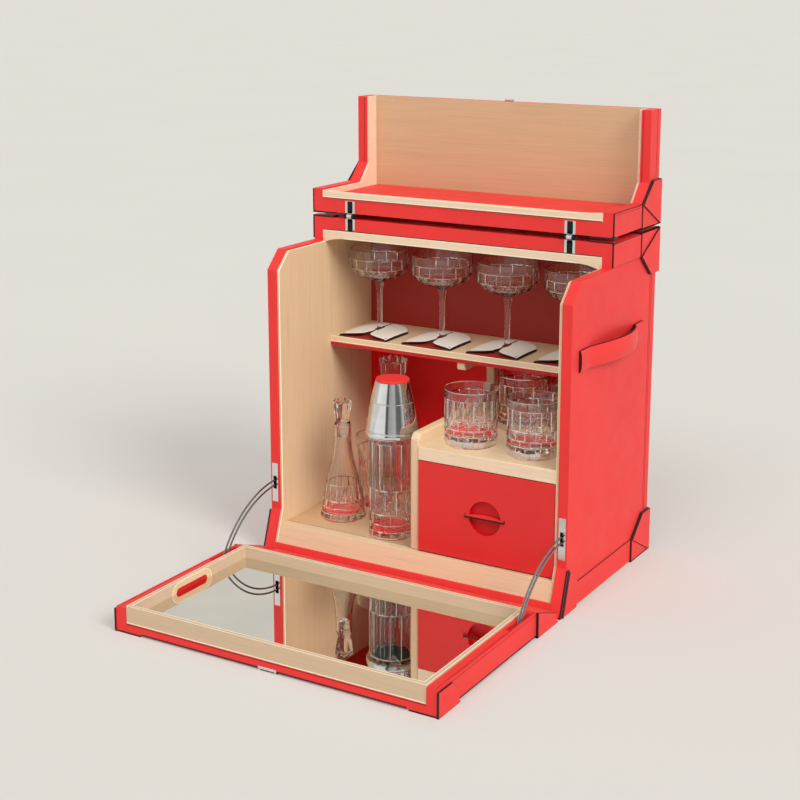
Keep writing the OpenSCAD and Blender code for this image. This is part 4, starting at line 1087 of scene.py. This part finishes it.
def stopper(node, at, z0, profile, flutes, low):
    """A crown of upright flutes, which deepen from low to high, with a scalloped top edge."""
    wide = 2 * pi / flutes
    high = 34

    def hollow(a):
        """1 in the middle of a flute and 0 at its edges."""
        d = abs((a + wide / 2) % wide - wide / 2) / (wide / 2)
        return 1 - d * d

    def carve(vertex, index, r, z, a):
        if z < low or r <= 9.8:
            return r
        k = min(1.0, (z - low) / (high - low))
        return r * (1 - (0.03 + 0.07 * k) * hollow(a))

    p = Piece(node + "_glass", node, ["glass"], "clear_glass", (node,))
    turned(p, at, z0, profile, flutes * 8, carve)
    rim = z0 + max(z for r, z in profile)
    for i, (x, y, z) in enumerate(p.verts):
        if z > rim - 4 and hypot(x - at[0], y - at[1]) > 9:
            p.verts[i] = (x, y, z - 1.8 * hollow(math.atan2(y - at[1], x - at[0])))
    p.finish(sharp=20).visible_shadow = False


def bowl(r, rz, z0):
    """A quarter of an ellipse, as profile points from the middle outwards."""
    turns = [pi / 2 * i / 16 for i in range(17)]
    return [(r * sin(a), z0 + rz * (1 - cos(a))) for a in turns]


def coupes():
    outer = [(0, 0), (29, 0), (31, 0.5), (31, 1), (20, 1.8), (8, 2.8), (4.9, 4.4), (4.3, 9),
             (4.2, 40), (4.4, 62), (5.2, 70), (6.6, 76), (6.4, 79), (7.4, 82), (10.5, 85.5)]
    outer += [(r, z) for r, z in bowl(48.5, 26, 85) if r > 13]
    outer += [(48.4, 118), (48.0, 128), (47.6, 135.0), (47.1, 135.5)]
    inner = [(46.2, 135.5), (45.9, 135.0), (46.3, 128), (46.5, 118)] + bowl(46.4, 24.5, 88.5)[::-1]
    for i, cx in enumerate(COUPE_X):
        cut_vessel(f"coupe_{i + 1}", (cx, COUPE_Y), SHELF_Z + 1, outer, inner,
                   [(87, 95), (95, 106), (106, 122)], 15, deep=0.7, step=3.0, groove=0.7,
                   tilt=0.4, cuts="cuts")


def tumblers():
    outer = [(0, 1.2), (30, 1.2), (34, 0), (37.5, 0), (40, 2.6), (40, 12), (39.85, 66),
             (39.7, 81.8), (39.1, 82.5)]
    inner = [(37.8, 82.5), (37.2, 81.8), (37.0, 48), (36.0, 23), (33, 18.2), (27, 16.3), (0, 16)]
    rows = [(1.6, 9.7), (9.7, 17.7), (17.7, 26.6), (26.6, 40), (40, 70)]
    for i, at in enumerate(TUMBLERS_AT):
        cut_vessel(f"tumbler_{i + 1}", at, CABINET_Z, outer, inner, rows, 16, phase=0.12 * i,
                   tilt=0.8)


def tall_glasses():
    cut_vessel("highball", HIGHBALL_AT, BAY_Z,
               [(0, 1), (19, 1), (21, 0), (23.6, 0), (25.6, 2.2), (33, 117.4), (32.5, 118)],
               [(31, 118), (30.5, 117.4), (22.8, 13.5), (19.6, 10.4), (0, 10)],
               [(3, 36), (36, 68), (68, 98)], 12)
    cut_vessel("small_decanter", SMALL_DECANTER_AT, BAY_Z,
               [(0, 1.2), (28, 1.2), (31, 0), (34, 0), (36, 2.5), (36, 6), (34.2, 14), (32, 28),
                (27.6, 51), (22, 74), (17.4, 92), (14.9, 108), (13.7, 125), (13.3, 145),
                (13.3, 148.4), (12.7, 149)],
               [(10.7, 149), (10.1, 148), (9.9, 127), (11.6, 108), (14.4, 92), (19, 74),
                (24.4, 51), (28.4, 30), (29.6, 16), (26.5, 11), (0, 10)],
               [(3, 11), (11, 20), (20, 31), (31, 56)], 14, deep=0.9)
    stopper("small_stopper", SMALL_DECANTER_AT, 195.0,
            [(0, -19), (8.7, -19), (9.7, 0), (9.7, 0.2), (12, 0.2), (12.2, 2.4), (10.2, 4.5),
             (10, 8), (12.2, 16), (13.7, 27), (14.6, 35), (14.5, 38), (13.4, 39), (11, 36.5),
             (6, 33.5), (0, 32.8)], 9, 6)
    cut_vessel("large_decanter", LARGE_DECANTER_AT, BAY_Z,
               [(0, 1), (26, 1), (29, 0), (31, 0), (34, 3), (34, 165.5), (32.5, 169.5),
                (28, 172.5), (17, 175.5), (14.5, 179.5), (15.4, 182.9), (15, 183.5)],
               [(11.6, 183.5), (11, 182.9), (10, 167.5), (26, 165.5), (30, 160.5), (30, 14),
                (27, 11.2), (0, 11)],
               [(4, 44), (44, 84), (84, 124), (124, 160)], 12)
    stopper("large_stopper", LARGE_DECANTER_AT, 229.5,
            [(0, -14), (9.7, -14), (10.7, 0), (10.7, 0.2), (15, 0.2), (15.5, 4), (19, 10),
             (21.5, 22), (23.3, 35), (23.0, 39), (21.4, 41), (18.5, 37), (12, 32.5), (0, 31)],
            12, 5)
    cut_vessel("shaker_glass", SHAKER_AT, BAY_Z,
               [(0, 1), (30, 1), (33, 0), (35.5, 0), (37.5, 3), (37.5, 154.6), (36.9, 155.3)],
               [(35.1, 155.3), (34.5, 154.6), (34.5, 14), (31.5, 11.2), (0, 11)],
               [(2, 11), (11, 22), (22, 38), (38, 76), (76, 148)], 14)


def shaker_cover():
    """The shaker's polished cover: a ring, a cone with one bead, and a flat top."""
    p = Piece("shaker_cover", "shaker_top", ["chrome"], "polished_steel", ("shaker_top",))
    turned(p, SHAKER_AT, 201.5,
           [(0, 80.5), (21, 80.5), (30, 50), (36.4, 10), (36.4, 0), (40.4, 0.2), (41.4, 1.6),
            (41.7, 4.4), (41.3, 7.4), (40.4, 8.8), (39.6, 9.3), (39.6, 10.0), (40.3, 10.8),
            (39.9, 12.4), (33.4, 52.0), (32.8, 52.4), (32.8, 53.2), (33.1, 53.8), (26.2, 81.6),
            (25.6, 83.0), (24.6, 83.5), (0, 83.5)], 120)
    p.finish(sharp=28)


def mats_under_glasses():
    """Leather discs let into the wood under the vessels."""
    p = Piece("glass_mats", "case", ["red"], "lining_leather")
    for at, z, r in [(at, CABINET_Z, 37) for at in TUMBLERS_AT] + [
            (HIGHBALL_AT, BAY_Z, 24), (SMALL_DECANTER_AT, BAY_Z, 34),
            (LARGE_DECANTER_AT, BAY_Z, 31), (SHAKER_AT, BAY_Z, 36)]:
        turned(p, at, z, [(0, -0.2), (r, -0.2), (r, 0.0), (r - 0.3, 0.06), (0, 0.08)], 64)
    p.finish()


for make in (body_trim, mats_under_glasses, lid_trim, flap_trim, tray_trim, slot_shades, lid_pad,
             petals, handles, drawer_pull, coupes, tumblers, tall_glasses, shaker_cover):
    make()

bpy.context.scene.view_settings.view_transform = "Standard"
